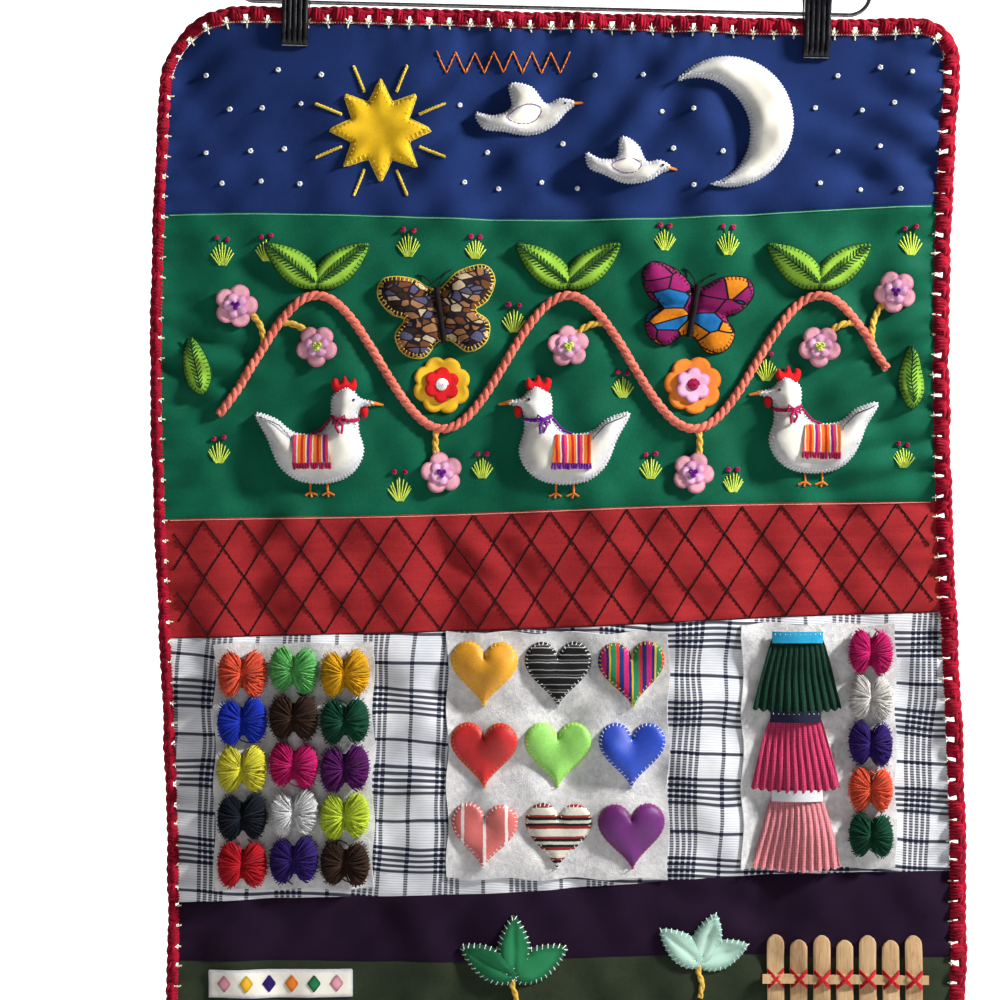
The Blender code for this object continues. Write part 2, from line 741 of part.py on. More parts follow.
def cloth_outline():
    # The cut edge as a close line, anticlockwise from the top left corner
    half = CLOTH_WIDTH / 2
    ring = []

    def side(v, sign):
        return sign * half + sway(v)

    def corner(centre, radius, start, turn):
        for k in range(1, 8):
            a = math.radians(start + turn * k / 8)
            ring.append((centre[0] + radius * math.cos(a), centre[1] + radius * math.sin(a)))
    step = 4.0
    left, right, foot = (CORNER_RADIUS[n] for n in ("top left", "top right", "bottom"))
    v = left
    while v < CLOTH_HEIGHT - foot:
        ring.append((side(v, -1), down(v)))
        v += step
    corner((side(CLOTH_HEIGHT, -1) + foot, down(CLOTH_HEIGHT - foot)), foot, 180, 90)
    x = side(CLOTH_HEIGHT, -1) + foot
    while x < side(CLOTH_HEIGHT, 1) - foot:
        ring.append((x, down(CLOTH_HEIGHT)))
        x += step
    corner((side(CLOTH_HEIGHT, 1) - foot, down(CLOTH_HEIGHT - foot)), foot, 270, 90)
    v = CLOTH_HEIGHT - foot
    while v > right:
        ring.append((side(v, 1), down(v)))
        v -= step
    top = eased(TOP_EDGE, half)
    corner((side(right, 1) - right, down(right) + top), right, 0, 90)
    x = side(right, 1) - right
    while x > side(left, -1) + left:
        ring.append((x, down(0) + eased(TOP_EDGE, x)))
        x -= step
    corner((side(left, -1) + left, down(left)), left, 90, 90)
    return ring


def spaced(ring, count):
    # The closed line again, as that many points equally far apart
    lengths = [0.0]
    closed = ring + ring[:1]
    for a, b in zip(closed, closed[1:]):
        lengths.append(lengths[-1] + math.dist(a, b))
    made, k = [], 0
    for n in range(count):
        want = lengths[-1] * n / count
        while lengths[k + 1] < want:
            k += 1
        t = (want - lengths[k]) / (lengths[k + 1] - lengths[k])
        a, b = closed[k], closed[k + 1]
        made.append((a[0] + (b[0] - a[0]) * t, a[1] + (b[1] - a[1]) * t))
    return made


def cut_at_seam(ring, seam, keep_below):
    # The part of a closed outline on one side of a seam, half a gap short of it
    sign = 1 if keep_below else -1

    def inside(p):
        return sign * (seam_height(seam, p[0]) - p[1]) - GAP / 2
    start = next(k for k, p in enumerate(ring) if inside(p) > 0)
    turned = ring[start:] + ring[:start]
    kept, left_at = [], None
    for a, b in zip(turned, turned[1:] + turned[:1]):
        da, db = inside(a), inside(b)
        if da > 0:
            kept.append(a)
        if (da > 0) == (db > 0):
            continue
        t = da / (da - db)
        crossing = (a[0] + (b[0] - a[0]) * t, a[1] + (b[1] - a[1]) * t)
        if da > 0:
            left_at = crossing[0]
        else:
            step = 1 if crossing[0] > left_at else -1
            for i in sorted(grid_lines([left_at / SEAM_STEP, crossing[0] / SEAM_STEP]), reverse=step < 0):
                x = i * SEAM_STEP
                kept.append((x, seam_height(seam, x) - sign * GAP / 2))
        kept.append(crossing)
    return kept


def make_bands(outline):
    for name, above, below, colour in BANDS:
        ring = outline
        if above:
            ring = cut_at_seam(ring, above, True)
        if below:
            ring = cut_at_seam(ring, below, False)
        flat_piece(name, ring, colour, -CLOTH_THICK / 2, CLOTH_THICK / 2)


def edge_width(x, z):
    # The crochet's width, eased from side to side by where the cloth's edge is
    half, v = CLOTH_WIDTH / 2, CLOTH_TOP - z
    sides = (
        ("left", half + x), ("right", half - x), ("top", v), ("bottom", CLOTH_HEIGHT - v),
    )
    weights = [(EDGE_WIDTH[name], 1.0 / (max(away, 0.0) + 6.0) ** 2) for name, away in sides]
    return sum(w * share for w, share in weights) / sum(share for w, share in weights)


def make_crochet(outline):
    # Posts stand between the cloth and an outer chain, with holes between the posts
    # except down the left side, where the stitches close up
    def make(bm):
        count = len(outline)
        rows = []
        for n in range(2 * count):
            k, after_post = n // 2, n % 2
            a, b = Vector(outline[k]), Vector(outline[(k + 1) % count])
            place = a.lerp(b, POST_SHARE * after_post)
            along = (b - Vector(outline[k - 1])).normalized()
            out = Vector((along.y, -along.x))
            width = edge_width(place.x, place.y)
            depth = fold(place.x, place.y)

            def point(share, forward):
                p = place + out * (GAP + 0.2 + width * share)
                return bm.verts.new((p.x, -depth - forward, p.y))
            rows.append({
                "root": point(0.0, 0.0),
                "root front": point(ROOT_SHARE, ROOT_THICK / 2),
                "root back": point(ROOT_SHARE, -ROOT_THICK / 2),
                "chain front": point(1 - CHAIN_SHARE, CHAIN_THICK / 2),
                "chain back": point(1 - CHAIN_SHARE, -CHAIN_THICK / 2),
                "rim": point(1.0 if after_post else 0.93, 0.0),
                "closed": width < CLOSED_WIDTH,
            })
        total = len(rows)
        for n, row in enumerate(rows):
            after = rows[(n + 1) % total]

            def strip(*names):
                for one, other in zip(names, names[1:]):
                    bm.faces.new((row[one], after[one], after[other], row[other]))
            hole = n % 2 == 1 and not row["closed"]
            if not hole:
                strip("root", "root front", "chain front", "rim", "chain back", "root back", "root")
                continue
            strip("root", "root front", "root back", "root")
            strip("chain front", "rim", "chain back", "chain front")
            for end in (row, after):
                names = ("root front", "chain front", "chain back", "root back")
                bm.faces.new([end[name] for name in names])
    return solid("crochet_edge", make, "crimson")


# The hanger

def tube(name, points, wire, cyclic, colour, parent):
    data = bpy.data.curves.new(name, "CURVE")
    data.dimensions = "3D"
    data.bevel_depth = wire / 2 * MM
    data.bevel_resolution = 1
    data.use_fill_caps = not cyclic
    line = data.splines.new("POLY")
    line.points.add(len(points) - 1)
    for spot, (x, y, z) in zip(line.points, points):
        spot.co = (x * MM, y * MM, z * MM, 1.0)
    line.use_cyclic_u = cyclic
    made = bpy.data.objects.new(name, data)
    bpy.context.scene.collection.objects.link(made)
    data.materials.append(material(colour))
    made.parent = parent
    return made


def make_loop(parent):
    # One wire bent into a long flat loop: the bar below, its return above
    radius = LOOP_HEIGHT / 2
    middle = -BAR_DROP + radius
    points = []
    for sign in (1, -1):
        for k in range(9):
            a = math.radians(-90 + 180 * k / 8) * sign
            points.append((sign * (BAR_HALF - radius + radius * math.cos(a)), 0.0, middle + sign * radius
                           * math.sin(a) * sign))
    tube("hanger_loop", points, BAR_WIRE, True, "steel", parent)


def hook_points():
    # Up from the ferrule, out to one side and over the rail
    ring = HOOK_INNER_RADIUS + HOOK_WIRE / 2
    middle = -HOOK_INNER_RADIUS
    start = middle - ring - 16.0
    points = []
    foot = -BAR_DROP + LOOP_HEIGHT + FERRULE["height"] / 2 - 1.0
    for k in range(3):
        points.append((0.0, 0.0, foot + (start - foot) * k / 2))
    arc_from, arc_to = 222.0, -35.0
    first = (ring * math.cos(math.radians(arc_from)), middle + ring * math.sin(math.radians(arc_from)))
    for k in range(1, 5):
        t = smooth(k / 5)
        points.append((first[0] * t, 0.0, start + (first[1] - start) * k / 5))
    for k in range(22):
        a = math.radians(arc_from + (arc_to - arc_from) * k / 21)
        points.append((ring * math.cos(a), 0.0, middle + ring * math.sin(a)))
    return points


def make_hook(parent):
    # The hook's wire and the ferrule that holds the loop's return wire
    bar_z = -BAR_DROP + LOOP_HEIGHT
    hook = tube("hook_wire", hook_points(), HOOK_WIRE, False, "steel", None)
    depsgraph = bpy.context.evaluated_depsgraph_get()
    wire_mesh = bpy.data.meshes.new_from_object(hook.evaluated_get(depsgraph))
    bpy.data.objects.remove(hook)
    wire = bpy.data.objects.new("hanger_hook", wire_mesh)
    bpy.context.scene.collection.objects.link(wire)
    half = [FERRULE[n] / 2 for n in ("width", "depth", "height")]

    def block(bm):
        bmesh.ops.create_cube(bm, size=1.0)
        for p in bm.verts:
            p.co = Vector((p.co.x * 2 * half[0], p.co.y * 2 * half[1], p.co.z * 2 * half[2] + bar_z))
        bmesh.ops.bevel(bm, geom=bm.edges[:], offset=1.0, segments=1, affect="EDGES")

    def bore(bm):
        bmesh.ops.create_cone(bm, cap_ends=True, segments=12, radius1=BAR_WIRE / 2 + GAP,
                              radius2=BAR_WIRE / 2 + GAP, depth=FERRULE["width"] + 6.0)
        for p in bm.verts:
            p.co = Vector((p.co.z, p.co.y, p.co.x + bar_z))
    ferrule = solid("ferrule", block, "steel")
    combine(ferrule, solid("ferrule_bore", bore, "steel"), "DIFFERENCE")
    combine(wire, ferrule, "UNION")
    wire.parent = parent


# One jaw of a clip from its lip to its thumb lever: height above the bar, inner face,
# outer face, where the faces are distances from the cloth's middle
JAW = (
    (-25.5, 1.15, 3.2),
    (-23.0, 1.5, 4.4),
    (-17.0, 3.2, 6.0),
    (-4.0, 3.9, 6.6),
    (0.0, 2.0, 6.8),
    (4.0, 3.2, 7.2),
    (17.0, 8.5, 10.8),
)


def make_jaw(name, x, sign, parent):
    # sign -1 is the jaw in front of the cloth, with ribs, and +1 the plain one behind
    def make(bm):
        half = CLIP_WIDTH / 2
        across = [(-half, 0.0), (half, 0.0)]
        if sign < 0:
            ribs = 2 * CLIP_RIBS
            across = [(half * (2 * n / ribs - 1), RIB_DEPTH * (n % 2)) for n in range(ribs + 1)]
        rings = []
        for height, inner, outer in JAW:
            z = height - BAR_DROP
            ring = [Vector((x + offset, sign * (outer - RIB_DEPTH + ridge), z)) for offset, ridge in across]
            ring.append(Vector((x + CLIP_WIDTH / 2, sign * inner, z)))
            ring.append(Vector((x - CLIP_WIDTH / 2, sign * inner, z)))
            rings.append(ring)
        skin(bm, rings)
    made = solid(name, make, "plastic")
    made.parent = parent


def main():
    clear_scene()
    outline = spaced(cloth_outline(), STITCHES)
    make_bands(outline)
    make_crochet(outline)
    make_sky_motifs()
    make_field_motifs()
    make_check_motifs()
    make_ground_motifs()
    hanger = bpy.data.objects.new("hanger", None)
    bpy.context.scene.collection.objects.link(hanger)
    hanger.rotation_euler = (0.0, math.radians(HANGER_TILT), 0.0)
    make_loop(hanger)
    make_hook(hanger)
    for side, x in CLIP_AT.items():
        make_jaw(f"clip_{side}_front", x, -1, hanger)
        make_jaw(f"clip_{side}_back", x, 1, hanger)


main()
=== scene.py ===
# The looks of a sewn wall textile and of the clip hanger that it hangs from.
# Lengths are in millimetres until a mesh is made. On the cloth, u runs right from its
# left edge, v runs down from its top edge, and forward is towards the viewer (-Y).
import math
import random

import bpy
import numpy as np
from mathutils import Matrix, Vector, geometry


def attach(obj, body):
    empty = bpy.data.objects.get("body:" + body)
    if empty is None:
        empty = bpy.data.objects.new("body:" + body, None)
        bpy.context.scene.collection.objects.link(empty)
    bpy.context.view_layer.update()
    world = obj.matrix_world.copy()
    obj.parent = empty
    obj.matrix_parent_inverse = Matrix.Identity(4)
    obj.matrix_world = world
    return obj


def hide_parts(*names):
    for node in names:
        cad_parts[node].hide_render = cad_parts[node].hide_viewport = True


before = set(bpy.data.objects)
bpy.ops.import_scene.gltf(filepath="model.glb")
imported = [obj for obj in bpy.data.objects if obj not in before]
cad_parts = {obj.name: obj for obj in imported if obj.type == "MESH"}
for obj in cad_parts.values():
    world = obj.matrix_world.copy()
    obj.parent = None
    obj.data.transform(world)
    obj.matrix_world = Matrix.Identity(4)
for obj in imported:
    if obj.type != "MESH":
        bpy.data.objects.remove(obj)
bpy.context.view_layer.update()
bpy.ops.object.select_all(action="DESELECT")
mm = 0.001

clothShape = {"width": 440.0, "height": 590.0, "top": -105.0, "thick": 1.6, "felt": 1.2, "gap": 0.3,
              "sway": 5.0, "swayLength": 620.0, "swayMiddle": 345.0,
              "topLeft": 34.0, "topRight": 16.0, "foot": 9.0}
onCloth = clothShape["thick"] / 2 + clothShape["gap"]
onFelt = onCloth + clothShape["felt"] + clothShape["gap"]
halfWidth = clothShape["width"] / 2


# Camera, light and floor

viewPlace = {"middleX": -31.9, "middleZ": -375.4, "away": 1400.0, "lens": 88.4}
roomLook = {"seen": 0.80, "light": 0.11, "floorZ": -1.25, "floorSize": 6, "floorSeen": 0.55,
            "wallY": 2.2, "wallSize": 8, "wallGlow": 0.95, "paper": (0.86, 0.86, 0.86, 1.0)}


def seenOnly(tree, strength):
    # A strength that the camera sees and that lights nothing
    ray = tree.nodes.new("ShaderNodeLightPath").outputs["Is Camera Ray"]
    return math2(tree, "MULTIPLY", ray, strength)


def makeCameraAndLights():
    data = bpy.data.cameras.new("camera")
    data.lens = viewPlace["lens"]
    data.clip_end = 20
    camera = bpy.data.objects.new("camera", data)
    bpy.context.collection.objects.link(camera)
    camera.location = (viewPlace["middleX"] * mm, -viewPlace["away"] * mm, viewPlace["middleZ"] * mm)
    camera.rotation_euler = (math.radians(90), 0, 0)
    bpy.context.scene.camera = camera
    lights = (
        # name, place, watts, size, colour
        ("key_light", (1.42, -0.56, 0.50), 62.0, 0.22, (1.0, 0.985, 0.96)),
        ("fill_light", (-0.6, -1.9, -0.2), 2.4, 1.2, (0.95, 0.97, 1.0)),
        ("back_light", (0.4, 1.6, 0.5), 12.0, 1.2, (1.0, 1.0, 1.0)),
    )
    middle = Vector((0.0, 0.0, -0.38))
    for name, place, watts, size, colour in lights:
        lamp = bpy.data.lights.new(name, "AREA")
        lamp.energy = watts
        lamp.size = size
        lamp.color = colour
        made = bpy.data.objects.new(name, lamp)
        bpy.context.collection.objects.link(made)
        made.location = place
        made.rotation_euler = (middle - Vector(place)).to_track_quat("-Z", "Y").to_euler()
    world = bpy.data.worlds.new("room")
    world.use_nodes = True
    sky = world.node_tree.nodes["Background"]
    sky.inputs["Color"].default_value = (1.0, 1.0, 1.0, 1.0)
    strength = math2(world.node_tree, "ADD", seenOnly(world.node_tree, roomLook["seen"]), roomLook["light"])
    world.node_tree.links.new(strength, sky.inputs["Strength"])
    bpy.context.scene.world = world
    bpy.context.scene.view_settings.view_transform = "Standard"
    bpy.ops.mesh.primitive_plane_add(size=roomLook["floorSize"], location=(0, 0, roomLook["floorZ"]))
    floor = bpy.context.object
    floor.name = "floor"
    bpy.ops.mesh.primitive_plane_add(size=roomLook["wallSize"], location=(0, roomLook["wallY"], 0.5),
                                     rotation=(math.radians(90), 0, 0))
    wall = bpy.context.object
    wall.name = "backdrop"
    for stagePiece in (floor, wall):
        pale, tree, shader = startMaterial(stagePiece.name + "_paper", 0.9)
        shader.inputs["Base Color"].default_value = roomLook["paper"]
        shader.inputs["Emission Color"].default_value = (1.0, 1.0, 1.0, 1.0)
        shader.inputs["Emission Strength"].default_value = roomLook["wallGlow"]
        if stagePiece is floor:
            tree.links.new(seenOnly(tree, roomLook["floorSeen"]), shader.inputs["Emission Strength"])
        stagePiece.data.materials.append(pale)


# Node helpers and materials

def startMaterial(name, rough, sheen=0.0, metallic=0.0):
    made = bpy.data.materials.new(name)
    made.use_nodes = True
    shader = made.node_tree.nodes["Principled BSDF"]
    shader.inputs["Roughness"].default_value = rough
    shader.inputs["Metallic"].default_value = metallic
    shader.inputs["Sheen Weight"].default_value = sheen * 0.12
    shader.inputs["Sheen Roughness"].default_value = 0.5
    if rough > 0.6:
        shader.inputs["Specular IOR Level"].default_value = 0.12
    return made, made.node_tree, shader


def addNode(tree, kind, settings=None, **inputs):
    made = tree.nodes.new("ShaderNode" + kind)
    for key, value in (settings or {}).items():
        setattr(made, key, value)
    for key, value in inputs.items():
        made.inputs[key.replace("_", " ")].default_value = value
    return made


def math2(tree, operation, a, b=0.5):
    made = tree.nodes.new("ShaderNodeMath")
    made.operation = operation
    for socket, value in zip(made.inputs, (a, b)):
        if isinstance(value, (int, float)):
            socket.default_value = value
        else:
            tree.links.new(value, socket)
    return made.outputs[0]


def mixColour(tree, share, a, b, blend="MIX"):
    made = tree.nodes.new("ShaderNodeMix")
    made.data_type = "RGBA"
    made.blend_type = blend
    for socket, value in zip((made.inputs[0], made.inputs[6], made.inputs[7]), (share, a, b)):
        if isinstance(value, (int, float)):
            socket.default_value = value
        elif isinstance(value, tuple):
            socket.default_value = (*value, 1.0)
        else:
            tree.links.new(value, socket)
    return made.outputs[2]


def ramp(tree, source, stops, sharp=False):
    made = tree.nodes.new("ShaderNodeValToRGB")
    line = made.color_ramp
    line.interpolation = "CONSTANT" if sharp else "LINEAR"
    line.elements[0].position, line.elements[1].position = stops[0][0], stops[-1][0]
    line.elements[0].color, line.elements[-1].color = (*stops[0][1], 1.0), (*stops[-1][1], 1.0)
    for spot, colour in stops[1:-1]:
        line.elements.new(spot).color = (*colour, 1.0)
    tree.links.new(source, made.inputs["Fac"])
    return made.outputs["Color"]


def paint(tree, shader, tone, stops, socket="Base Color"):
    tree.links.new(ramp(tree, tone, stops), shader.inputs[socket])


def mixed(tree, first, firstShare, second, secondShare):
    return math2(tree, "ADD", math2(tree, "MULTIPLY", first, firstShare),
                 math2(tree, "MULTIPLY", second, secondShare))


def objectPlace(tree, stretch=(1.0, 1.0, 1.0), turn=0.0, shift=(0.0, 0.0, 0.0)):
    source = tree.nodes.new("ShaderNodeTexCoord").outputs["Object"]
    mapping = addNode(tree, "Mapping", Location=shift, Rotation=(0, math.radians(turn), 0), Scale=stretch)
    tree.links.new(source, mapping.inputs["Vector"])
    return mapping.outputs["Vector"]


def noise(tree, vector, sizeMm, detail=3.0, rough=0.6):
    made = addNode(tree, "TexNoise", Scale=1.0 / (sizeMm * mm), Detail=detail, Roughness=rough)
    tree.links.new(vector, made.inputs["Vector"])
    return made.outputs["Fac"]


def bands(tree, vector, pitchMm, direction):
    # Smooth ridges across X, Y or Z, one for each pitch
    made = addNode(tree, "TexWave", {"bands_direction": direction}, Scale=2 * math.pi / (20 * pitchMm * mm))
    tree.links.new(vector, made.inputs["Vector"])
    return made.outputs["Fac"]


def addBump(tree, shader, height, depthMm, strength=1.0):
    made = addNode(tree, "Bump", Strength=strength, Distance=depthMm * mm)
    tree.links.new(height, made.inputs["Height"])
    tree.links.new(made.outputs["Normal"], shader.inputs["Normal"])


def clothFinish(name, dark, light, weave=0.55, patch=26.0, rough=0.85, sheen=0.15, stretch=(1, 1, 1),
                depth=0.045):
    # Plain woven cloth: threads both ways, faded and deeper patches
    made, tree, shader = startMaterial(name, rough, sheen)
    place = objectPlace(tree)
    patches = noise(tree, objectPlace(tree, stretch), patch, 5.0, 0.65)
    fine = noise(tree, place, 0.9, 2.0)
    tone = mixed(tree, patches, 0.36, fine, 0.3)
    paint(tree, shader, tone, ((0.12, dark), (0.46, light)))
    threads = math2(tree, "MULTIPLY", bands(tree, place, weave, "X"), bands(tree, place, weave, "Z"))
    addBump(tree, shader, math2(tree, "ADD", threads, fine), depth, 0.7)
    return made


def feltFinish(name, edge, middle, rough=0.95, sheen=0.35):
    # Felt: short matted fibres, with painted shade towards its sewn edge, where the padded piece curves away
    made, tree, shader = startMaterial(name, rough, sheen)
    place = objectPlace(tree)
    # The crown share runs from 0 at the cut edge to 1 inside; the darker edge colour is painted shade
    crown = addNode(tree, "Attribute", {"attribute_name": "crown"}).outputs["Fac"]
    mottle = noise(tree, place, 3.0, 6.0, 0.75)
    tone = math2(tree, "ADD", crown, math2(tree, "MULTIPLY", math2(tree, "SUBTRACT", mottle, 0.5), 0.9))
    paint(tree, shader, tone, ((0.05, edge), (0.75, middle)))
    fibres = noise(tree, place, 0.8, 6.0, 0.8)
    addBump(tree, shader, fibres, 0.20, 0.75)
    return made


def woolFinish():
    # Carded white wool pressed into a mat
    made, tree, shader = startMaterial("matted_white_wool", 0.95, 0.4)
    tufts = noise(tree, objectPlace(tree), 4.5, 8.0, 0.8)
    cloud = noise(tree, objectPlace(tree), 16.0, 3.0)
    tone = mixed(tree, tufts, 0.65, cloud, 0.35)
    paint(tree, shader, tone, ((0.34, (0.46, 0.46, 0.50)), (0.60, (0.86, 0.85, 0.84))))
    addBump(tree, shader, tufts, 1.3, 0.9)
    return made


def yarnFinish(name, dark, light, rough=0.9, sheen=0.4, strand=0.7):
    made, tree, shader = startMaterial(name, rough, sheen)
    place = objectPlace(tree)
    plies = noise(tree, objectPlace(tree, (1.0, 1.0, 0.6), 35.0), strand, 4.0, 0.7)
    tone = mixed(tree, plies, 0.6, noise(tree, place, 6.0), 0.4)
    paint(tree, shader, tone, ((0.36, dark), (0.62, light)))
    addBump(tree, shader, plies, 0.22, 0.7)
    return made


def stripedFinish(name, stripes, period, direction="Z", turn=0.0, rough=0.75, satin=0.0):
    # Woven stripes, each a share of the period and a colour
    made, tree, shader = startMaterial(name, rough, 0.2)
    shader.inputs["Coat Weight"].default_value = satin
    shader.inputs["Coat Roughness"].default_value = 0.45
    place = objectPlace(tree, turn=turn)
    parts = tree.nodes.new("ShaderNodeSeparateXYZ")
    tree.links.new(place, parts.inputs[0])
    wobble = math2(tree, "MULTIPLY", noise(tree, place, 9.0), 0.0012)
    along = math2(tree, "ADD", parts.outputs[direction], wobble)
    share = math2(tree, "FRACT", math2(tree, "ADD", math2(tree, "DIVIDE", along, period * mm), 100.0))
    colour = ramp(tree, share, stripes, sharp=True)
    fine = noise(tree, place, 0.8, 3.0)
    tree.links.new(mixColour(tree, 0.55, colour, ramp(tree, fine, ((0.2, (0.45,) * 3), (0.7, (1.0,) * 3))),
                             "MULTIPLY"), shader.inputs["Base Color"])
    addBump(tree, shader, math2(tree, "ADD", bands(tree, place, 0.7, "Z"), fine), 0.06, 0.6)
    return made


def checkFinish():
    # White ribbed cotton with groups of dark threads both ways and a single one between
    look = {"period": 44.6, "line": 2.15, "pitch": 3.35, "group": 5, "single": 30.6, "rib": 1.45,
            "dark": (0.006, 0.009, 0.030), "pale": (0.80, 0.81, 0.85), "tilt": -2.3,
            "startX": 2.0, "startZ": 9.5}
    made, tree, shader = startMaterial("check_cotton", 0.88, 0.15)
    source = tree.nodes.new("ShaderNodeTexCoord").outputs["Object"]
    drift = addNode(tree, "TexNoise", Scale=22.0, Detail=1.0)
    tree.links.new(source, drift.inputs["Vector"])
    centred = addNode(tree, "VectorMath", {"operation": "MULTIPLY_ADD"})
    tree.links.new(drift.outputs["Color"], centred.inputs[0])
    centred.inputs[1].default_value = (0.006, 0.0, 0.006)
    tree.links.new(source, centred.inputs[2])
    turned = addNode(tree, "Mapping", Rotation=(0, math.radians(look["tilt"]), 0),
                     Location=(look["startX"] * mm, 0, look["startZ"] * mm))
    tree.links.new(centred.outputs[0], turned.inputs["Vector"])
    parts = tree.nodes.new("ShaderNodeSeparateXYZ")
    tree.links.new(turned.outputs["Vector"], parts.inputs[0])

    def linesAlong(socket, line, soft):
        stops, white, black = [(0.0, (0.0,) * 3)], (0.0,) * 3, (1.0,) * 3
        starts = [2.0 + k * look["pitch"] for k in range(look["group"])] + [look["single"]]
        for begin in starts:
            for at, value in ((begin, white), (begin + soft, black), (begin + line, black),
                              (begin + line + soft, white)):
                stops.append((at / look["period"], value))
        stops.append((1.0, white))
        share = math2(tree, "FRACT",
                      math2(tree, "ADD", math2(tree, "DIVIDE", socket, look["period"] * mm), 50.0))
        return ramp(tree, share, stops)
    ribs = bands(tree, turned.outputs["Vector"], look["rib"], "Z")
    upright = math2(tree, "MULTIPLY", linesAlong(parts.outputs["X"], look["line"], 0.2),
                    math2(tree, "ADD", math2(tree, "MULTIPLY", ribs, -0.55), 1.0))
    level = math2(tree, "MULTIPLY", linesAlong(parts.outputs["Z"], look["line"] * 0.85, 0.3), 0.92)
    both = math2(tree, "MAXIMUM", upright, level)
    crossing = math2(tree, "MINIMUM", math2(tree, "ADD", both, math2(tree, "MULTIPLY", upright, level)),
                     1.0)
    fine = noise(tree, source, 1.2, 3.0)
    pale = ramp(tree, noise(tree, source, 30.0), ((0.3, (0.60, 0.62, 0.68)), (0.62, look["pale"])))
    # The pale cotton is darkened in the grooves between ribs: painted shade
    paleWithGrooveShade = mixColour(tree, 0.35, pale, ramp(tree, ribs, ((0.0, (0.55, 0.57, 0.62)), (0.6, (1, 1, 1)))),
                       "MULTIPLY")
    tree.links.new(mixColour(tree, crossing, paleWithGrooveShade, look["dark"]), shader.inputs["Base Color"])
    addBump(tree, shader, math2(tree, "ADD", ribs, math2(tree, "MULTIPLY", fine, 0.5)), 0.16, 0.8)
    return made


def batikFinish(name, colours, line, cell, lineShare, turn=20.0, stretch=(1.0, 1.0, 1.6)):
    # Printed cotton: patches of colour between drawn lines
    made, tree, shader = startMaterial(name, 0.8, 0.15)
    place = objectPlace(tree, stretch, turn)
    patch = addNode(tree, "TexVoronoi", {"feature": "F1"}, Scale=1 / (cell * mm), Randomness=1.0)
    edge = addNode(tree, "TexVoronoi", {"feature": "DISTANCE_TO_EDGE"}, Scale=1 / (cell * mm),
                   Randomness=1.0)
    for cells in (patch, edge):
        tree.links.new(place, cells.inputs["Vector"])
    pick = tree.nodes.new("ShaderNodeSeparateColor")
    tree.links.new(patch.outputs["Color"], pick.inputs[0])
    stops = [(k / len(colours), c) for k, c in enumerate(colours)] + [(1.0, colours[-1])]
    colour = ramp(tree, pick.outputs[0], stops, sharp=True)
    fine = noise(tree, objectPlace(tree), 2.2, 4.0)
    shaded = mixColour(tree, 0.5, colour, ramp(tree, fine, ((0.25, (0.35,) * 3), (0.65, (1.0,) * 3))),
                       "MULTIPLY")
    drawn = ramp(tree, edge.outputs["Distance"],
                 ((0.0, (1, 1, 1)), (lineShare, (1, 1, 1)), (lineShare * 1.4, (0, 0, 0))))
    tree.links.new(mixColour(tree, drawn, shaded, line), shader.inputs["Base Color"])
    addBump(tree, shader, fine, 0.12, 0.5)
    return made


def woodFinish():
    made, tree, shader = startMaterial("craft_stick_wood", 0.62)
    grain = noise(tree, objectPlace(tree, (1.0, 1.0, 0.05)), 0.9, 5.0, 0.7)
    wide = noise(tree, objectPlace(tree, (1.0, 1.0, 0.2)), 7.0, 3.0)
    tone = mixed(tree, grain, 0.6, wide, 0.4)
    paint(tree, shader, tone,
          ((0.32, (0.30, 0.16, 0.075)), (0.5, (0.56, 0.36, 0.19)), (0.7, (0.68, 0.49, 0.29))))
    addBump(tree, shader, grain, 0.12, 0.6)
    return made


def plasticFinish():
    made, tree, shader = startMaterial("clip_plastic", 0.28)
    scuffs = noise(tree, objectPlace(tree, (1.0, 1.0, 0.3)), 1.6, 4.0)
    paint(tree, shader, scuffs, ((0.3, (0.004, 0.004, 0.006)), (0.75, (0.016, 0.016, 0.022))))
    paint(tree, shader, scuffs, ((0.3, (0.18,) * 3), (0.8, (0.42,) * 3)), "Roughness")
    shader.inputs["Specular IOR Level"].default_value = 0.3
    addBump(tree, shader, scuffs, 0.05, 0.3)
    return made


def steelFinish():
    made, tree, shader = startMaterial("hanger_wire_chrome", 0.2, metallic=1.0)
    wear = noise(tree, objectPlace(tree), 2.5, 4.0)
    paint(tree, shader, wear, ((0.3, (0.20, 0.20, 0.21)), (0.7, (0.40, 0.40, 0.42))))
    paint(tree, shader, wear, ((0.3, (0.12,) * 3), (0.8, (0.34,) * 3)), "Roughness")
    addBump(tree, shader, wear, 0.03, 0.2)
    return made


finishes = {}


feltColours = (
    # finish, material, painted shade at the edge, in the middle
    ("white felt", "white_felt", (0.50, 0.52, 0.57), (0.86, 0.83, 0.74)),
    ("pink felt", "pink_felt", (0.44, 0.15, 0.22), (0.78, 0.38, 0.46)),
    ("petal felt", "petal_felt", (0.50, 0.17, 0.40), (0.84, 0.46, 0.66)),
    ("mustard felt", "mustard_felt", (0.55, 0.29, 0.01), (0.86, 0.50, 0.03)),
    ("orange felt", "orange_felt", (0.62, 0.14, 0.01), (0.90, 0.26, 0.04)),
    ("red felt", "red_felt", (0.42, 0.005, 0.010), (0.72, 0.015, 0.020)),
    ("lime felt", "lime_felt", (0.10, 0.26, 0.02), (0.33, 0.60, 0.06)),
    ("leaf felt", "leaf_green_felt", (0.006, 0.075, 0.030), (0.020, 0.190, 0.075)),
    ("mint felt", "mint_felt", (0.20, 0.40, 0.32), (0.46, 0.68, 0.58)),
)
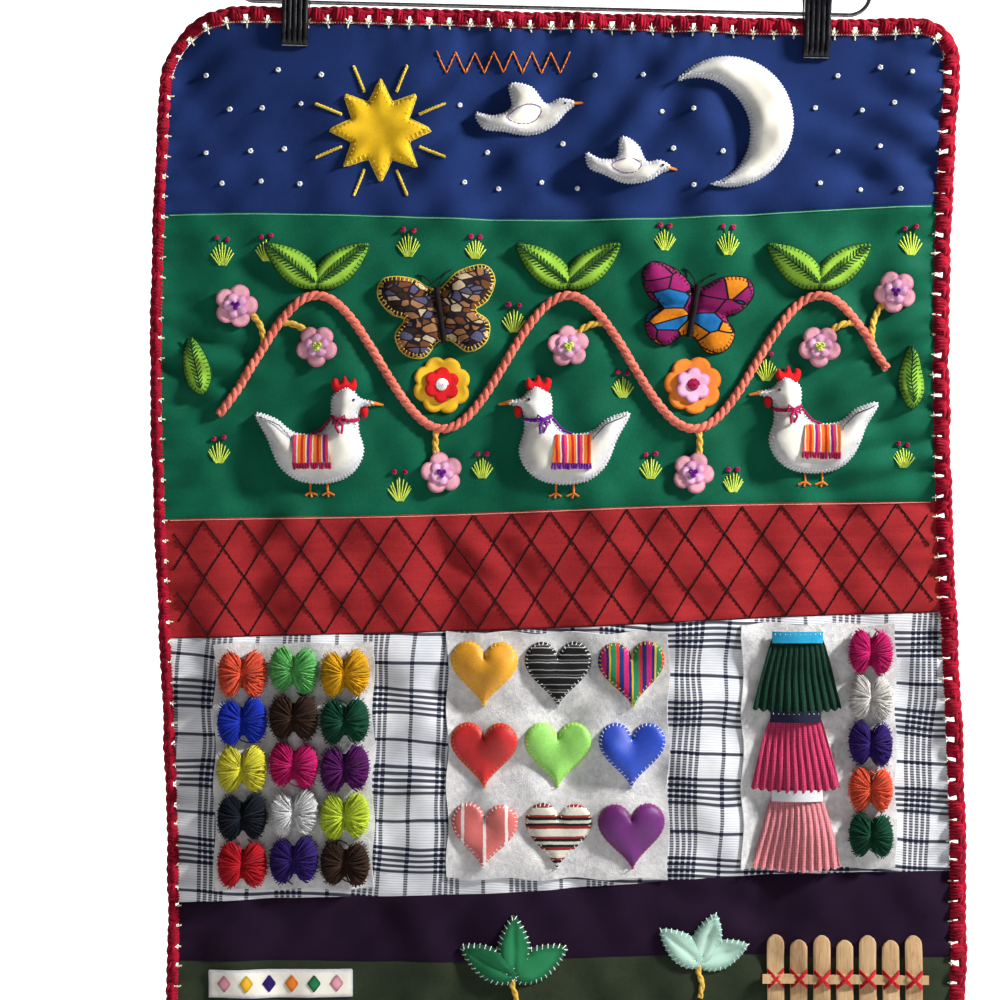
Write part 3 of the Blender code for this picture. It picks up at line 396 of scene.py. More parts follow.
yarnColours = (
    # finish, material, dark, light, strand
    ("crimson", "crimson_yarn", (0.100, 0.001, 0.008), (0.480, 0.005, 0.030), 0.8),
    ("cream thread", "cream_thread", (0.62, 0.50, 0.26), (0.88, 0.80, 0.56), 0.5),
    ("white thread", "white_thread", (0.66, 0.68, 0.72), (0.93, 0.93, 0.90), 0.5),
    ("yellow thread", "yellow_thread", (0.55, 0.36, 0.01), (0.90, 0.70, 0.12), 0.5),
    ("coral cord", "coral_cord", (0.50, 0.085, 0.060), (0.84, 0.24, 0.17), 1.0),
    ("mustard cord", "mustard_cord", (0.45, 0.24, 0.02), (0.78, 0.50, 0.10), 1.0),
    ("green thread", "dark_green_thread", (0.002, 0.030, 0.010), (0.010, 0.105, 0.035), 0.5),
    ("lime thread", "lime_thread", (0.38, 0.55, 0.03), (0.72, 0.86, 0.16), 0.5),
    ("black thread", "black_thread", (0.003, 0.002, 0.003), (0.016, 0.012, 0.014), 0.5),
    ("berry thread", "berry_thread", (0.20, 0.004, 0.035), (0.50, 0.015, 0.11), 0.6),
    ("purple thread", "purple_thread", (0.08, 0.006, 0.16), (0.20, 0.02, 0.36), 0.6),
    ("orange thread", "orange_thread", (0.55, 0.10, 0.01), (0.90, 0.28, 0.04), 0.5),
)


def makeFinishes():
    for key, name, edge, middle in feltColours:
        finishes[key] = feltFinish(name, edge, middle)
    for key, name, dark, light, strand in yarnColours:
        finishes[key] = yarnFinish(name, dark, light, strand=strand)
    finishes["blue"] = clothFinish("blue_cotton", (0.004, 0.012, 0.066), (0.011, 0.034, 0.155), 0.5, 34.0)
    finishes["green"] = clothFinish("green_cotton", (0.000, 0.048, 0.024), (0.001, 0.135, 0.070), 0.5, 30.0,
                                    rough=0.72, sheen=0.3)
    finishes["red"] = clothFinish("coral_linen", (0.190, 0.008, 0.012), (0.400, 0.024, 0.027), 0.9, 9.0,
                                  stretch=(0.14, 1.0, 1.6), depth=0.08)
    finishes["plum"] = clothFinish("plum_cotton", (0.006, 0.002, 0.009), (0.016, 0.004, 0.022), 0.5, 26.0)
    finishes["olive"] = clothFinish("dark_olive_cotton", (0.010, 0.016, 0.008), (0.032, 0.044, 0.024), 0.6,
                                    20.0)
    finishes["check"] = checkFinish()
    finishes["panel felt"] = woolFinish()
    finishes["star cotton"] = clothFinish("star_cotton", (0.62, 0.33, 0.005), (0.86, 0.55, 0.02), 0.6, 14.0)
    brown = ((0.16, 0.055, 0.022), (0.36, 0.17, 0.075), (0.035, 0.018, 0.016), (0.55, 0.43, 0.28),
             (0.09, 0.085, 0.16))
    finishes["brown print"] = batikFinish("brown_print", brown, (0.012, 0.008, 0.010), 6.5, 0.07)
    bright = ((0.28, 0.010, 0.12), (0.010, 0.15, 0.42), (0.70, 0.22, 0.01), (0.22, 0.008, 0.10))
    finishes["bright print"] = batikFinish("bright_print", bright, (0.004, 0.003, 0.008), 15.0, 0.035, 50.0)
    finishes["wood"] = woodFinish()
    finishes["plastic"] = plasticFinish()
    finishes["steel"] = steelFinish()


# The cloth's surface

foldTable = (
    # x, v, lean, half width, half length, depth
    (-15.0, 90.0, 0.00, 52.0, 130.0, -3.0), (62.0, 70.0, -0.25, 50.0, 120.0, 3.0),
    (-205.0, 20.0, 0.40, 60.0, 70.0, -6.0), (205.0, 30.0, -0.30, 62.0, 80.0, 4.5),
    (-118.0, 210.0, 0.10, 60.0, 130.0, 2.6), (12.0, 240.0, 0.00, 55.0, 120.0, 2.4),
    (128.0, 235.0, 0.12, 58.0, 120.0, -2.6), (-62.0, 350.0, -0.08, 56.0, 130.0, -2.8),
    (70.0, 390.0, 0.06, 58.0, 140.0, 3.0), (196.0, 400.0, 0.05, 50.0, 150.0, -4.0),
    (-200.0, 420.0, 0.00, 56.0, 150.0, 3.2), (-120.0, 540.0, 0.05, 56.0, 120.0, -3.2),
    (-20.0, 560.0, 0.00, 52.0, 120.0, 3.6), (110.0, 550.0, -0.05, 56.0, 120.0, -3.4),
    (195.0, 585.0, -0.10, 52.0, 90.0, 4.0),
)
seamTable = {
    # v at the middle, rise over the width, wave height, wave length, wave start
    "sky_field": (107.5, 5.0, 3.0, 430.0, 132.5),
    "field_lattice": (276.0, 12.0, 0.7, 300.0, 0.0),
    "lattice_check": (342.8, 15.5, 0.9, 380.0, 60.0),
    "check_ground": (491.0, 20.5, 1.6, 300.0, 30.0),
    "ground_grass": (532.0, 5.0, 1.2, 260.0, 0.0),
}
topEdge = ((-220.0, 0.0), (-180.0, 1.6), (-123.0, 1.2), (-77.0, 0.1), (0.0, -1.7), (80.0, -3.8),
           (116.0, -5.2), (173.0, -5.8), (220.0, -5.4))
clipPlaces = ((-148.19, -91.53), (148.72, -98.53))     # the middle of each clip on the tilted bar
rippleTable = (
    # x, v, lie of the crease in degrees, crease to crease, half width, half length, height
    (200.0, 190.0, 24.0, 21.0, 52.0, 84.0, 1.50),
    (196.0, 248.0, 12.0, 18.0, 44.0, 74.0, 1.25),
    (-200.0, 190.0, -14.0, 19.0, 46.0, 50.0, 1.10),
    (110.0, 180.0, 30.0, 22.0, 50.0, 60.0, 0.55),
    (-60.0, 185.0, 4.0, 20.0, 60.0, 60.0, 0.50),
    (185.0, 50.0, -28.0, 26.0, 64.0, 70.0, 1.15),
    (50.0, 45.0, 52.0, 30.0, 74.0, 78.0, 1.20),
    (-40.0, 60.0, 38.0, 28.0, 66.0, 92.0, 1.00),
    (-190.0, 26.0, 36.0, 20.0, 40.0, 44.0, 0.70),
    (-40.0, 305.0, -36.0, 20.0, 60.0, 40.0, 0.45),
    (110.0, 312.0, 28.0, 18.0, 60.0, 40.0, 0.45),
    (-150.0, 310.0, 42.0, 20.0, 50.0, 40.0, 0.45),
    (-196.0, 430.0, 6.0, 40.0, 80.0, 30.0, 0.70),
    (40.0, 420.0, 8.0, 36.0, 90.0, 26.0, 0.70),
    (-80.0, 515.0, 20.0, 26.0, 40.0, 90.0, 0.60),
    (100.0, 515.0, -16.0, 28.0, 40.0, 90.0, 0.60),
)
waveLook = {"ripple": 1.9, "crease": 0.010, "stitch": 11.7, "sideWave": 0.75, "sideFade": 11.0,
            "endWave": 0.45, "endFade": 7.0, "clipDrop": 20.0, "clipFlat": 16.0, "clipFade": 62.0}
creaseDraw = random.Random(11)
creaseWaves = [(creaseDraw.uniform(0, math.pi), creaseDraw.uniform(15, 55),
                creaseDraw.uniform(0, 6.28)) for k in range(14)]


def bell(t):
    return np.cos(np.pi * np.clip(np.abs(t), 0, 1) / 2) ** 2


def smooth(t):
    t = np.clip(t, 0, 1)
    return t * t * (3 - 2 * t)


def down(v):
    return clothShape["top"] - v


def sway(v):
    return clothShape["sway"] * np.sin(2 * np.pi * (v - clothShape["swayMiddle"]) / clothShape["swayLength"])


def rise(x):
    made = np.full(np.shape(x), topEdge[0][1], float)
    for (x0, y0), (x1, y1) in zip(topEdge, topEdge[1:]):
        made = np.where(np.asarray(x) >= x0, y0 + (y1 - y0) * smooth((np.asarray(x) - x0) / (x1 - x0)),
                        made)
    return made


def seamAt(name, x):
    v, lift, wave, length, start = seamTable[name]
    return down(v) + lift * x / clothShape["width"] + wave * np.sin(2 * np.pi * (x - start) / length)


def surfaceAt(x, z):
    # How far forward of the hanging plane the middle of the cloth is
    x, z = np.asarray(x, float), np.asarray(z, float)
    v = clothShape["top"] - z
    look = waveLook
    depth = np.zeros(np.broadcast(x, z).shape)
    for foldX, foldV, lean, wide, long, forward in foldTable:
        depth += forward * bell((x - foldX - lean * (v - foldV)) / wide) * bell((v - foldV) / long)
    for rippleX, rippleV, lie, pitch, wide, long, height in rippleTable:
        a = math.radians(lie)
        along = (x - rippleX) * math.cos(a) - (v - rippleV) * math.sin(a)
        across = (x - rippleX) * math.sin(a) + (v - rippleV) * math.cos(a)
        wave = np.cos(2 * np.pi * across / pitch)
        depth += look["ripple"] * height * wave * bell(across / wide) * bell(along / long)
    for turn, pitch, phase in creaseWaves:
        across = x * math.cos(turn) + z * math.sin(turn)
        depth += look["crease"] * pitch * np.sin(2 * np.pi * across / pitch + phase)
    stitch = 2 * np.pi / look["stitch"]
    aside = np.minimum(x + halfWidth - sway(v), halfWidth + sway(v) - x)
    depth += look["sideWave"] * np.cos(stitch * v) * np.exp(-np.maximum(aside, 0) / look["sideFade"])
    above = np.minimum(v + rise(x), clothShape["height"] - v)
    depth += look["endWave"] * np.cos(stitch * x) * np.exp(-np.maximum(above, 0) / look["endFade"])
    for clipX, clipZ in clipPlaces:
        away = np.hypot(x - clipX, z - clipZ + look["clipDrop"])
        depth *= smooth((away - look["clipFlat"]) / look["clipFade"])
    return depth


# Mesh helpers

def only(piece):
    bpy.ops.object.select_all(action="DESELECT")
    piece.select_set(True)
    bpy.context.view_layer.objects.active = piece


def meshPiece(name, corners, faces, finish, smoothAngle=None, attribute=None):
    mesh = bpy.data.meshes.new(name)
    mesh.from_pydata((np.asarray(corners) * mm).tolist(), [], [list(map(int, f)) for f in faces])
    mesh.validate()
    made = bpy.data.objects.new(name, mesh)
    bpy.context.collection.objects.link(made)
    mesh.materials.append(finishes[finish])
    # The crown share, which felt finishes use to paint shade at the cut edge
    if attribute is not None:
        mesh.attributes.new("crown", "FLOAT", "POINT").data.foreach_set("value",
                                                                        np.asarray(attribute, np.float32))
    mesh.shade_smooth()
    if smoothAngle:
        only(made)
        bpy.ops.object.shade_smooth_by_angle(angle=math.radians(smoothAngle))
    return made


def thread(name, lines, radius, finish, sides=1, closed=False, onSurface=True):
    # Stitches: each line is a row of (x, z, forward) on the cloth, or (x, y, z) off it
    data = bpy.data.curves.new(name, "CURVE")
    data.dimensions = "3D"
    data.bevel_depth = radius * mm
    data.bevel_resolution = sides
    data.use_fill_caps = not closed
    lines = [np.asarray(line, float) for line in lines]
    everything = np.concatenate(lines)
    if onSurface:
        forward = surfaceAt(everything[:, 0], everything[:, 1]) + everything[:, 2]
        everything = np.stack([everything[:, 0], -forward, everything[:, 1]], 1)
    start = 0
    for line in lines:
        count = len(line)
        spline = data.splines.new("POLY")
        spline.points.add(count - 1)
        four = np.ones((count, 4))
        four[:, :3] = everything[start:start + count] * mm
        spline.points.foreach_set("co", four.ravel())
        spline.use_cyclic_u = closed
        start += count
    made = bpy.data.objects.new(name, data)
    bpy.context.collection.objects.link(made)
    data.materials.append(finishes[finish])
    only(made)
    bpy.ops.object.convert(target="MESH")
    return bpy.context.object


def joinPieces(name, pieces):
    bpy.ops.object.select_all(action="DESELECT")
    for piece in pieces:
        piece.select_set(True)
    bpy.context.view_layer.objects.active = pieces[0]
    if len(pieces) > 1:
        bpy.ops.object.join()
    made = bpy.context.object
    made.name = name
    return made


def settle(piece, slotName, *nodes):
    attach(piece, "root")
    if nodes:
        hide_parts(*nodes)
    return piece


def applied(piece, kind, **settings):
    change = piece.modifiers.new(kind.lower(), kind)
    for key, value in settings.items():
        setattr(change, key, value)
    only(piece)
    bpy.ops.object.modifier_apply(modifier=change.name)
    return piece


def dividedCube(cuts):
    bpy.ops.object.select_all(action="DESELECT")
    bpy.ops.mesh.primitive_cube_add(size=1, location=(0, 0, 0))
    made = bpy.context.object
    bpy.ops.object.mode_set(mode="EDIT")
    bpy.ops.mesh.select_all(action="SELECT")
    bpy.ops.mesh.subdivide(number_cuts=cuts)
    bpy.ops.object.mode_set(mode="OBJECT")
    return made, np.array([c.co[:] for c in made.data.vertices])


def reshaped(piece, places, finish, smoothAngle=None):
    piece.data.vertices.foreach_set("co", (places * mm).ravel())
    piece.data.uv_layers.remove(piece.data.uv_layers[0])
    piece.data.materials.append(finishes[finish])
    piece.data.shade_smooth()
    if smoothAngle:
        bpy.ops.object.shade_smooth_by_angle(angle=math.radians(smoothAngle))
    return piece


def gridPiece(name, columns, rows, shape, finish, thick):
    # A sheet: shape turns shares across and up into x, z and how far forward its middle is
    bpy.ops.object.select_all(action="DESELECT")
    bpy.ops.mesh.primitive_grid_add(x_subdivisions=columns, y_subdivisions=rows, size=1)
    made = bpy.context.object
    made.name = made.data.name = name
    count = len(made.data.vertices)
    co = np.zeros(count * 3)
    made.data.vertices.foreach_get("co", co)
    co = co.reshape(-1, 3)
    x, z, forward = shape(co[:, 0] + 0.5, co[:, 1] + 0.5)
    made.data.vertices.foreach_set("co", (np.stack([x, -forward, z], 1) * mm).ravel())
    made.data.update()
    made.data.materials.append(finishes[finish])
    made.data.shade_smooth()
    applied(made, "SOLIDIFY", thickness=thick * mm, offset=0.0)
    if len(made.data.uv_layers):
        made.data.uv_layers.remove(made.data.uv_layers[0])
    bpy.ops.object.shade_smooth_by_angle(angle=math.radians(60))
    return made


# Outlines, as rows of (x, z), anticlockwise

def placed(outline, u, v, turn=0.0, size=1.0):
    a, points = math.radians(turn), np.asarray(outline, float)
    x = u - halfWidth + size * (points[:, 0] * math.cos(a) - points[:, 1] * math.sin(a))
    return np.stack([x, down(v) + size * (points[:, 0] * math.sin(a) + points[:, 1] * math.cos(a))], 1)


def evenly(outline, step, closed=True):
    # The same line with its points about one step apart
    line = np.asarray(outline, float)
    if closed:
        line = np.vstack([line, line[:1]])
    lengths = np.concatenate([[0], np.cumsum(np.hypot(*np.diff(line, axis=0).T))])
    count = max(4, round(lengths[-1] / step))
    want = np.linspace(0, lengths[-1], count, endpoint=not closed)
    return np.stack([np.interp(want, lengths, line[:, 0]), np.interp(want, lengths, line[:, 1])], 1)


def rounded(outline, steps=7):
    # A smooth closed curve through a few points
    p = np.asarray(outline, float)
    a, b, c, d = np.roll(p, 1, 0), p, np.roll(p, -1, 0), np.roll(p, -2, 0)
    made = []
    for t in np.arange(steps) / steps:
        square, cube = 2 * a - 5 * b + 4 * c - d, 3 * b - a - 3 * c + d
        made.append(0.5 * (2 * b + (c - a) * t + square * t * t + cube * t ** 3))
    return np.stack(made, 1).reshape(-1, 2)


def petals(radius, count, notch, points=14):
    a = np.linspace(0, 2 * np.pi, count * points, endpoint=False)
    r = radius * (1 - notch + notch * np.abs(np.cos(count * a / 2)) ** 0.7)
    return np.stack([r * np.cos(a), r * np.sin(a)], 1)


def star(count, outer, inner):
    a = math.pi / 2 + math.pi * np.arange(2 * count) / count
    r = np.where(np.arange(2 * count) % 2, inner, outer)
    return np.stack([r * np.cos(a), r * np.sin(a)], 1)


def heart(width, height, points=60):
    t = np.linspace(0, 2 * np.pi, points, endpoint=False)
    lobes = 13 * np.cos(t) - 5 * np.cos(2 * t) - 2 * np.cos(3 * t) - np.cos(4 * t)
    return np.stack([-width / 2 * np.sin(t) ** 3, height / 29 * (lobes + 2.5)], 1)


def leafShape(length, width, foot=2.5, points=22):
    t = np.linspace(0, 1, points)
    half = width / 2 * np.maximum(np.sin(np.pi * t ** 0.8), 0) ** 0.75
    right = np.stack([half, length * t - foot], 1)
    left = np.stack([-half, length * t - foot], 1)[1:-1][::-1]
    return np.vstack([right, left])


def crescent(outer, inner, shift, points=40):
    reach = (outer ** 2 - inner ** 2 + shift ** 2) / (2 * shift)
    a = np.linspace(-math.acos(-reach / outer), math.acos(-reach / outer), points)
    b = np.linspace(math.acos((shift - reach) / inner), -math.acos((shift - reach) / inner), points)[1:-1]
    return np.vstack([np.stack([outer * np.cos(a), outer * np.sin(a)], 1),
                      np.stack([-shift + inner * np.cos(b), inner * np.sin(b)], 1)])


def flipped(points, flip):
    turned = np.asarray(points, float) * (flip, 1)
    return turned if flip > 0 else turned[::-1]


def depthInside(outline, x, z):
    # How far each place lies inside a closed outline, and negative outside it
    a, p = np.asarray(outline, float), np.stack([np.ravel(x), np.ravel(z)], 1).astype(float)
    b = np.roll(a, -1, 0)
    d = b - a
    t = np.clip(((p[:, None] - a) * d).sum(2) / np.maximum((d * d).sum(1), 1e-9), 0, 1)
    away = np.linalg.norm(p[:, None] - (a + t[..., None] * d), axis=2).min(1)
    px, pz = p[:, :1], p[:, 1:]
    spans = (a[:, 1] > pz) != (b[:, 1] > pz)
    crossing = a[:, 0] + (pz - a[:, 1]) * d[:, 0] / np.where(d[:, 1] == 0, 1e-9, d[:, 1])
    inside = (spans & (px < crossing)).sum(1) % 2 == 1
    return np.where(inside, away, -away).reshape(np.shape(x))


def lineDistance(lines, x, z):
    made = np.full(np.shape(x), 1e6)
    for line in lines:
        for (ax, az), (bx, bz) in zip(line, line[1:]):
            dx, dz = bx - ax, bz - az
            t = np.clip(((x - ax) * dx + (z - az) * dz) / (dx * dx + dz * dz), 0, 1)
            made = np.minimum(made, np.hypot(x - ax - t * dx, z - az - t * dz))
    return made


def crownHeight(form, inside):
    t = np.clip(inside / form["reach"], 0, 1)
    return form["base"] + form["rim"] + form["crown"] * np.sqrt(1 - (1 - t) ** 2)


def stuffed(name, outline, form, finish):
    # A padded piece: its cut edge stands a little off the cloth and its middle is crowned
    ring = evenly(outline, form.get("step", 1.5))
    pitch = form.get("pitch", 1.7)
    low, high = ring.min(0), ring.max(0)
    rows = np.arange(low[1], high[1], pitch * 0.87)
    inner = np.array([(x + (k % 2) * pitch / 2, z) for k,
                      z in enumerate(rows) for x in np.arange(low[0], high[0], pitch)])
    inner = inner[depthInside(ring, inner[:, 0], inner[:, 1]) > pitch * 0.55]
    points = [tuple(p) for p in np.vstack([ring, inner])]
    found = geometry.delaunay_2d_cdt(points, [], [list(range(len(ring)))], 1, 1e-5)
    flat, faces = np.array([tuple(p) for p in found[0]]), [list(f) for f in found[2]]
    inside = np.maximum(depthInside(ring, flat[:, 0], flat[:, 1]), 0)
    height = crownHeight(form, inside)
    wide = np.sin(flat[:, 0] / 3.1 + 1.3) * np.sin(flat[:,
                                                        1] / 3.7) + np.sin((flat[:, 0] + flat[:, 1]) / 6.3)
    height += form.get("lump", 0.25) * wide * np.clip(inside / 4, 0, 1)
    for lines, deep, spread in form.get("valleys", ()):
        height -= deep * np.exp(-(lineDistance(lines, flat[:, 0],
                                               flat[:, 1]) / spread) ** 2) * np.clip(inside / 2, 0, 1)
    height = np.maximum(height, form["base"] + 0.5)
    under = surfaceAt(flat[:, 0], flat[:, 1])
    front = np.stack([flat[:, 0], -(under + height), flat[:, 1]], 1)
    back = np.stack([flat[:, 0], -(under + form["base"]), flat[:, 1]], 1)
    count = len(flat)
    rim = {}
    for f in faces:
        for a, b in zip(f, f[1:] + f[:1]):
            rim[a, b] = rim.get((a, b), 0) + 1
    walls = [(b, a, a + count, b + count) for (a, b) in rim if (b, a) not in rim]
    everything = faces + [[k + count for k in f[::-1]] for f in faces] + walls
    # A share from the cut edge inwards; felt finishes paint shade at the edge with it
    crown = np.concatenate([np.clip(inside / form["reach"], 0, 1)] * 2)
    return meshPiece(name, np.vstack([front, back]), everything, finish, 55, crown)


def alongOutline(outline, spacing):
    # Places, one spacing apart, with the way along and the way in
    ring = evenly(outline, spacing)
    ahead = np.roll(ring, -1, 0) - np.roll(ring, 1, 0)
    ahead /= np.maximum(np.linalg.norm(ahead, axis=1, keepdims=True), 1e-9)
    return ring, ahead, np.stack([-ahead[:, 1], ahead[:, 0]], 1)


def whipStitches(outline, form, spacing=2.2, outside=0.15, inside=1.7, slant=0.35, seed=3):
    draw = random.Random(seed)
    lines = []
    for p, ahead, inward in zip(*alongOutline(outline, spacing)):
        reach = inside * draw.uniform(0.8, 1.15)
        lift = crownHeight(form, 0.0)
        far = crownHeight(form, reach) + 0.1
        lean = ahead * slant * draw.uniform(0.4, 1.6)
        a, b, c = p - inward * outside - lean, p - inward * 0.25 - lean * 0.3, p + inward * reach + lean
        lines.append([(*a, 0.8), (*b, lift * 0.75), (*(p + inward * 0.5), lift + 0.42), (*c, far)])
    return lines


def blanketStitches(outline, form, spacing=3.0, inside=2.4):
    # Teeth that run in from a thread along the edge
    ring, inward = alongOutline(outline, spacing)[::2]
    lift = crownHeight(form, 0.0)
    lines = []
    for p, q, turn in zip(ring, np.roll(ring, -1, 0), inward):
        lines.append([(*(p - turn * 0.5), 0.9), (*(p + turn * 0.3), lift + 0.3),
                      (*(p + turn * inside), crownHeight(form, inside) + 0.15)])
        lines.append([(*(p - turn * 0.35), lift * 0.8), (*((p + q) / 2 - turn * 0.5), lift * 0.8),
                      (*(q - turn * 0.35), lift * 0.8)])
    return lines


def backStitches(line, length, gap, forward, seed=5):
    # Short stitches in a row along a line of (x, z)
    draw = random.Random(seed)
    line = np.asarray(line, float)
    lengths = np.concatenate([[0], np.cumsum(np.hypot(*np.diff(line, axis=0).T))])
    made, at = [], 0.0
    while at < lengths[-1] - 0.6:
        end = min(at + length * draw.uniform(0.8, 1.2), lengths[-1])
        row = []
        for share, lift in ((0.0, -0.25), (0.18, 0.16), (0.5, 0.26), (0.82, 0.16), (1.0, -0.25)):
            s = at + (end - at) * share
            row.append((np.interp(s, lengths, line[:, 0]) + draw.uniform(-0.12, 0.12),
                        np.interp(s, lengths, line[:, 1]) + draw.uniform(-0.12, 0.12), forward + lift))
        made.append(row)
        at = end + gap
    return made


def knot(x, z, radius, forward, draw):
    a = np.linspace(0, 2 * np.pi, 6, endpoint=False) + draw.uniform(0, 3)
    wide = radius * draw.uniform(0.85, 1.15)
    return [(x + wide * math.cos(t), z + wide * 0.9 * math.sin(t),
             forward + 0.35 * math.sin(2 * t)) for t in a]


# Bands of cloth

bandTable = (
    # piece, seam above, seam below, finish and slot
    ("panel_sky", None, "sky_field", "blue"), ("panel_field", "sky_field", "field_lattice", "green"),
    ("panel_lattice", "field_lattice", "lattice_check", "red"),
    ("panel_check", "lattice_check", "check_ground", "check"),
    ("panel_ground", "check_ground", "ground_grass", "plum"),
    ("panel_grass", "ground_grass", None, "olive"),
)
bandGrid = {"columns": 190, "cell": 2.4, "seamDip": 0.5, "seamWidth": 1.6}


def cornerDrop(x, left, right):
    nearLeft = np.clip(left - (x + halfWidth), 0, left)
    nearRight = np.clip(right - (halfWidth - x), 0, right)
    return left - np.sqrt(left ** 2 - nearLeft ** 2) + right - np.sqrt(right ** 2 - nearRight ** 2)


def makeBands():
    left, right, foot = clothShape["topLeft"], clothShape["topRight"], clothShape["foot"]
    for name, above, below, colour in bandTable:
        def shape(s, t):
            x = clothShape["width"] * s - halfWidth
            for sign, radius in ((-1, left if above is None else foot),
                                 (1, right if above is None else foot)):
                if above is None or below is None:
                    q = np.clip((halfWidth - sign * x) / radius, 0, 1)
                    x = np.where(q < 1, sign * (halfWidth - radius * (1 - np.cos(np.pi / 2 * q))), x)
            high = down(0) + rise(x) - cornerDrop(x, left,
                                                  right) if above is None else seamAt(above, x) + 0.2
            low = down(clothShape["height"]) + cornerDrop(x, foot,
                                                          foot) if below is None else seamAt(below, x) - 0.2
            tall = np.mean(high - low)
            rows = round(tall / bandGrid["cell"])
            edge = 3 / rows
            t = np.interp(t, (0, edge, 1 - edge, 1), (0, 2.4 / tall, 1 - 2.4 / tall, 1))
            z = low + t * (high - low)
            x = x + sway(clothShape["top"] - z)
            forward = surfaceAt(x, z)
            for seam, away in ((above, (1 - t) * tall), (below, t * tall)):
                if seam:
                    forward = forward - bandGrid["seamDip"] * np.exp(-(away / bandGrid["seamWidth"]) ** 2)
            return x, z, forward
        vTop = seamTable[above][0] if above else 0.0
        vLow = seamTable[below][0] if below else clothShape["height"]
        tall = vLow - vTop
        piece = gridPiece(name.replace("panel", "band"), bandGrid["columns"],
                          round(tall / bandGrid["cell"]), shape, colour,
                          clothShape["thick"])
        settle(piece, colour, name)
    seams = (
        # seam, finish, slot, radius, how far down from the seam
        ("sky_field", "lime seam", "green", 0.34, 0.9), ("field_lattice", "pink seam", "red", 0.34, 0.9),
        ("lattice_check", "black thread", "red", 0.22, -0.6),
    )
    finishes["lime seam"] = yarnFinish("pale_green_seam", (0.08, 0.34, 0.20), (0.22, 0.55, 0.36),
                                       strand=0.6)
    finishes["pink seam"] = yarnFinish("pale_coral_seam", (0.60, 0.16, 0.14), (0.82, 0.34, 0.28),
                                       strand=0.6)
    x = np.linspace(-halfWidth + 3, halfWidth - 3, 150)
    for name, finish, slotName, radius, drop in seams:
        z = seamAt(name, x) - drop
        line = np.stack([x + sway(clothShape["top"] - z), z,
                         np.full(len(x), clothShape["thick"] / 2 - 0.1)], 1)
        settle(thread("seam_" + name, [line], radius, finish), slotName)
    print("bands of cloth")


latticeLook = {"pitch": 22.0, "lines": 0.46, "stitch": 2.7, "gap": 0.3}


def makeLattice():
    # Black backstitch in plain diamonds, two rows of them
    lines = []
    pitch = latticeLook["pitch"]
    draw = random.Random(8)
    forward = clothShape["thick"] / 2 + 0.15
    share = np.linspace(0, 1, 40)
    for lean in (-1, 1):
        for k in range(-13, 14):
            x = k * pitch - lean * pitch + lean * 2 * pitch * share + draw.uniform(-0.7, 0.7)
            t = share[np.abs(x) < halfWidth - 4]
            x = x[np.abs(x) < halfWidth - 4]
            if len(x) < 6:
                continue
            top, low = seamAt("field_lattice", x) - 1.8, seamAt("lattice_check", x) + 1.0
            z = top + (low - top) * t
            lines += backStitches(np.stack([x + sway(clothShape["top"] - z), z], 1), latticeLook["stitch"],
                                  latticeLook["gap"], forward, 20 * lean + k)
    settle(thread("lattice_stitches", lines, latticeLook["lines"], "black thread", 0), "red")
    print("lattice stitches", len(lines))


# Crochet edge

crochetLook = {"spreads": (-3.9, -2.4, -0.8, 0.8, 2.4, 3.9), "topFoot": 0.7, "feet": (1.2, 1.2, 1.15, 0.85),
               "bulge": 3.0, "facesUp": 0.6, "tick": 0.5, "stitches": 176, "yarn": 1.25, "chain": 1.45,
               "left": 5.6, "right": 8.6, "top": 8.8,
               "bottom": 8.0}


def clothLine():
    half, left, right, foot = halfWidth, clothShape["topLeft"], clothShape["topRight"], clothShape["foot"]
    tall = clothShape["height"]

    def side(v, sign):
        return sign * half + sway(v)

    def corner(x, z, radius, start):
        a = np.radians(start + 90 * np.arange(1, 12) / 12)
        return np.stack([x + radius * np.cos(a), z + radius * np.sin(a)], 1)
    v = np.arange(left, tall - foot, 4.0)
    rows = [np.stack([side(v, -1), down(v)], 1),
            corner(side(tall, -1) + foot, down(tall - foot), foot, 180)]
    x = np.arange(side(tall, -1) + foot, side(tall, 1) - foot, 4.0)
    rows += [np.stack([x, np.full(len(x), down(tall))], 1),
             corner(side(tall, 1) - foot, down(tall - foot), foot, 270)]
    v = np.arange(tall - foot, right, -4.0)
    rows += [np.stack([side(v, 1), down(v)], 1),
             corner(side(right, 1) - right, down(right) + rise(half), right, 0)]
    x = np.arange(side(right, 1) - right, side(left, -1) + left, -4.0)
    rows += [np.stack([x, down(0) + rise(x)], 1), corner(side(left, -1) + left, down(left), left, 90)]
    return np.vstack(rows)


def crochetWidth(x, z):
    v = clothShape["top"] - z
    sides = (("left", halfWidth + x), ("right", halfWidth - x), ("top", v),
             ("bottom", clothShape["height"] - v))
    shares = [1.0 / (np.maximum(away, 0.0) + 6.0) ** 2 for name, away in sides]
    return sum(crochetLook[name] * share for (name, away), share in zip(sides, shares)) / sum(shares)


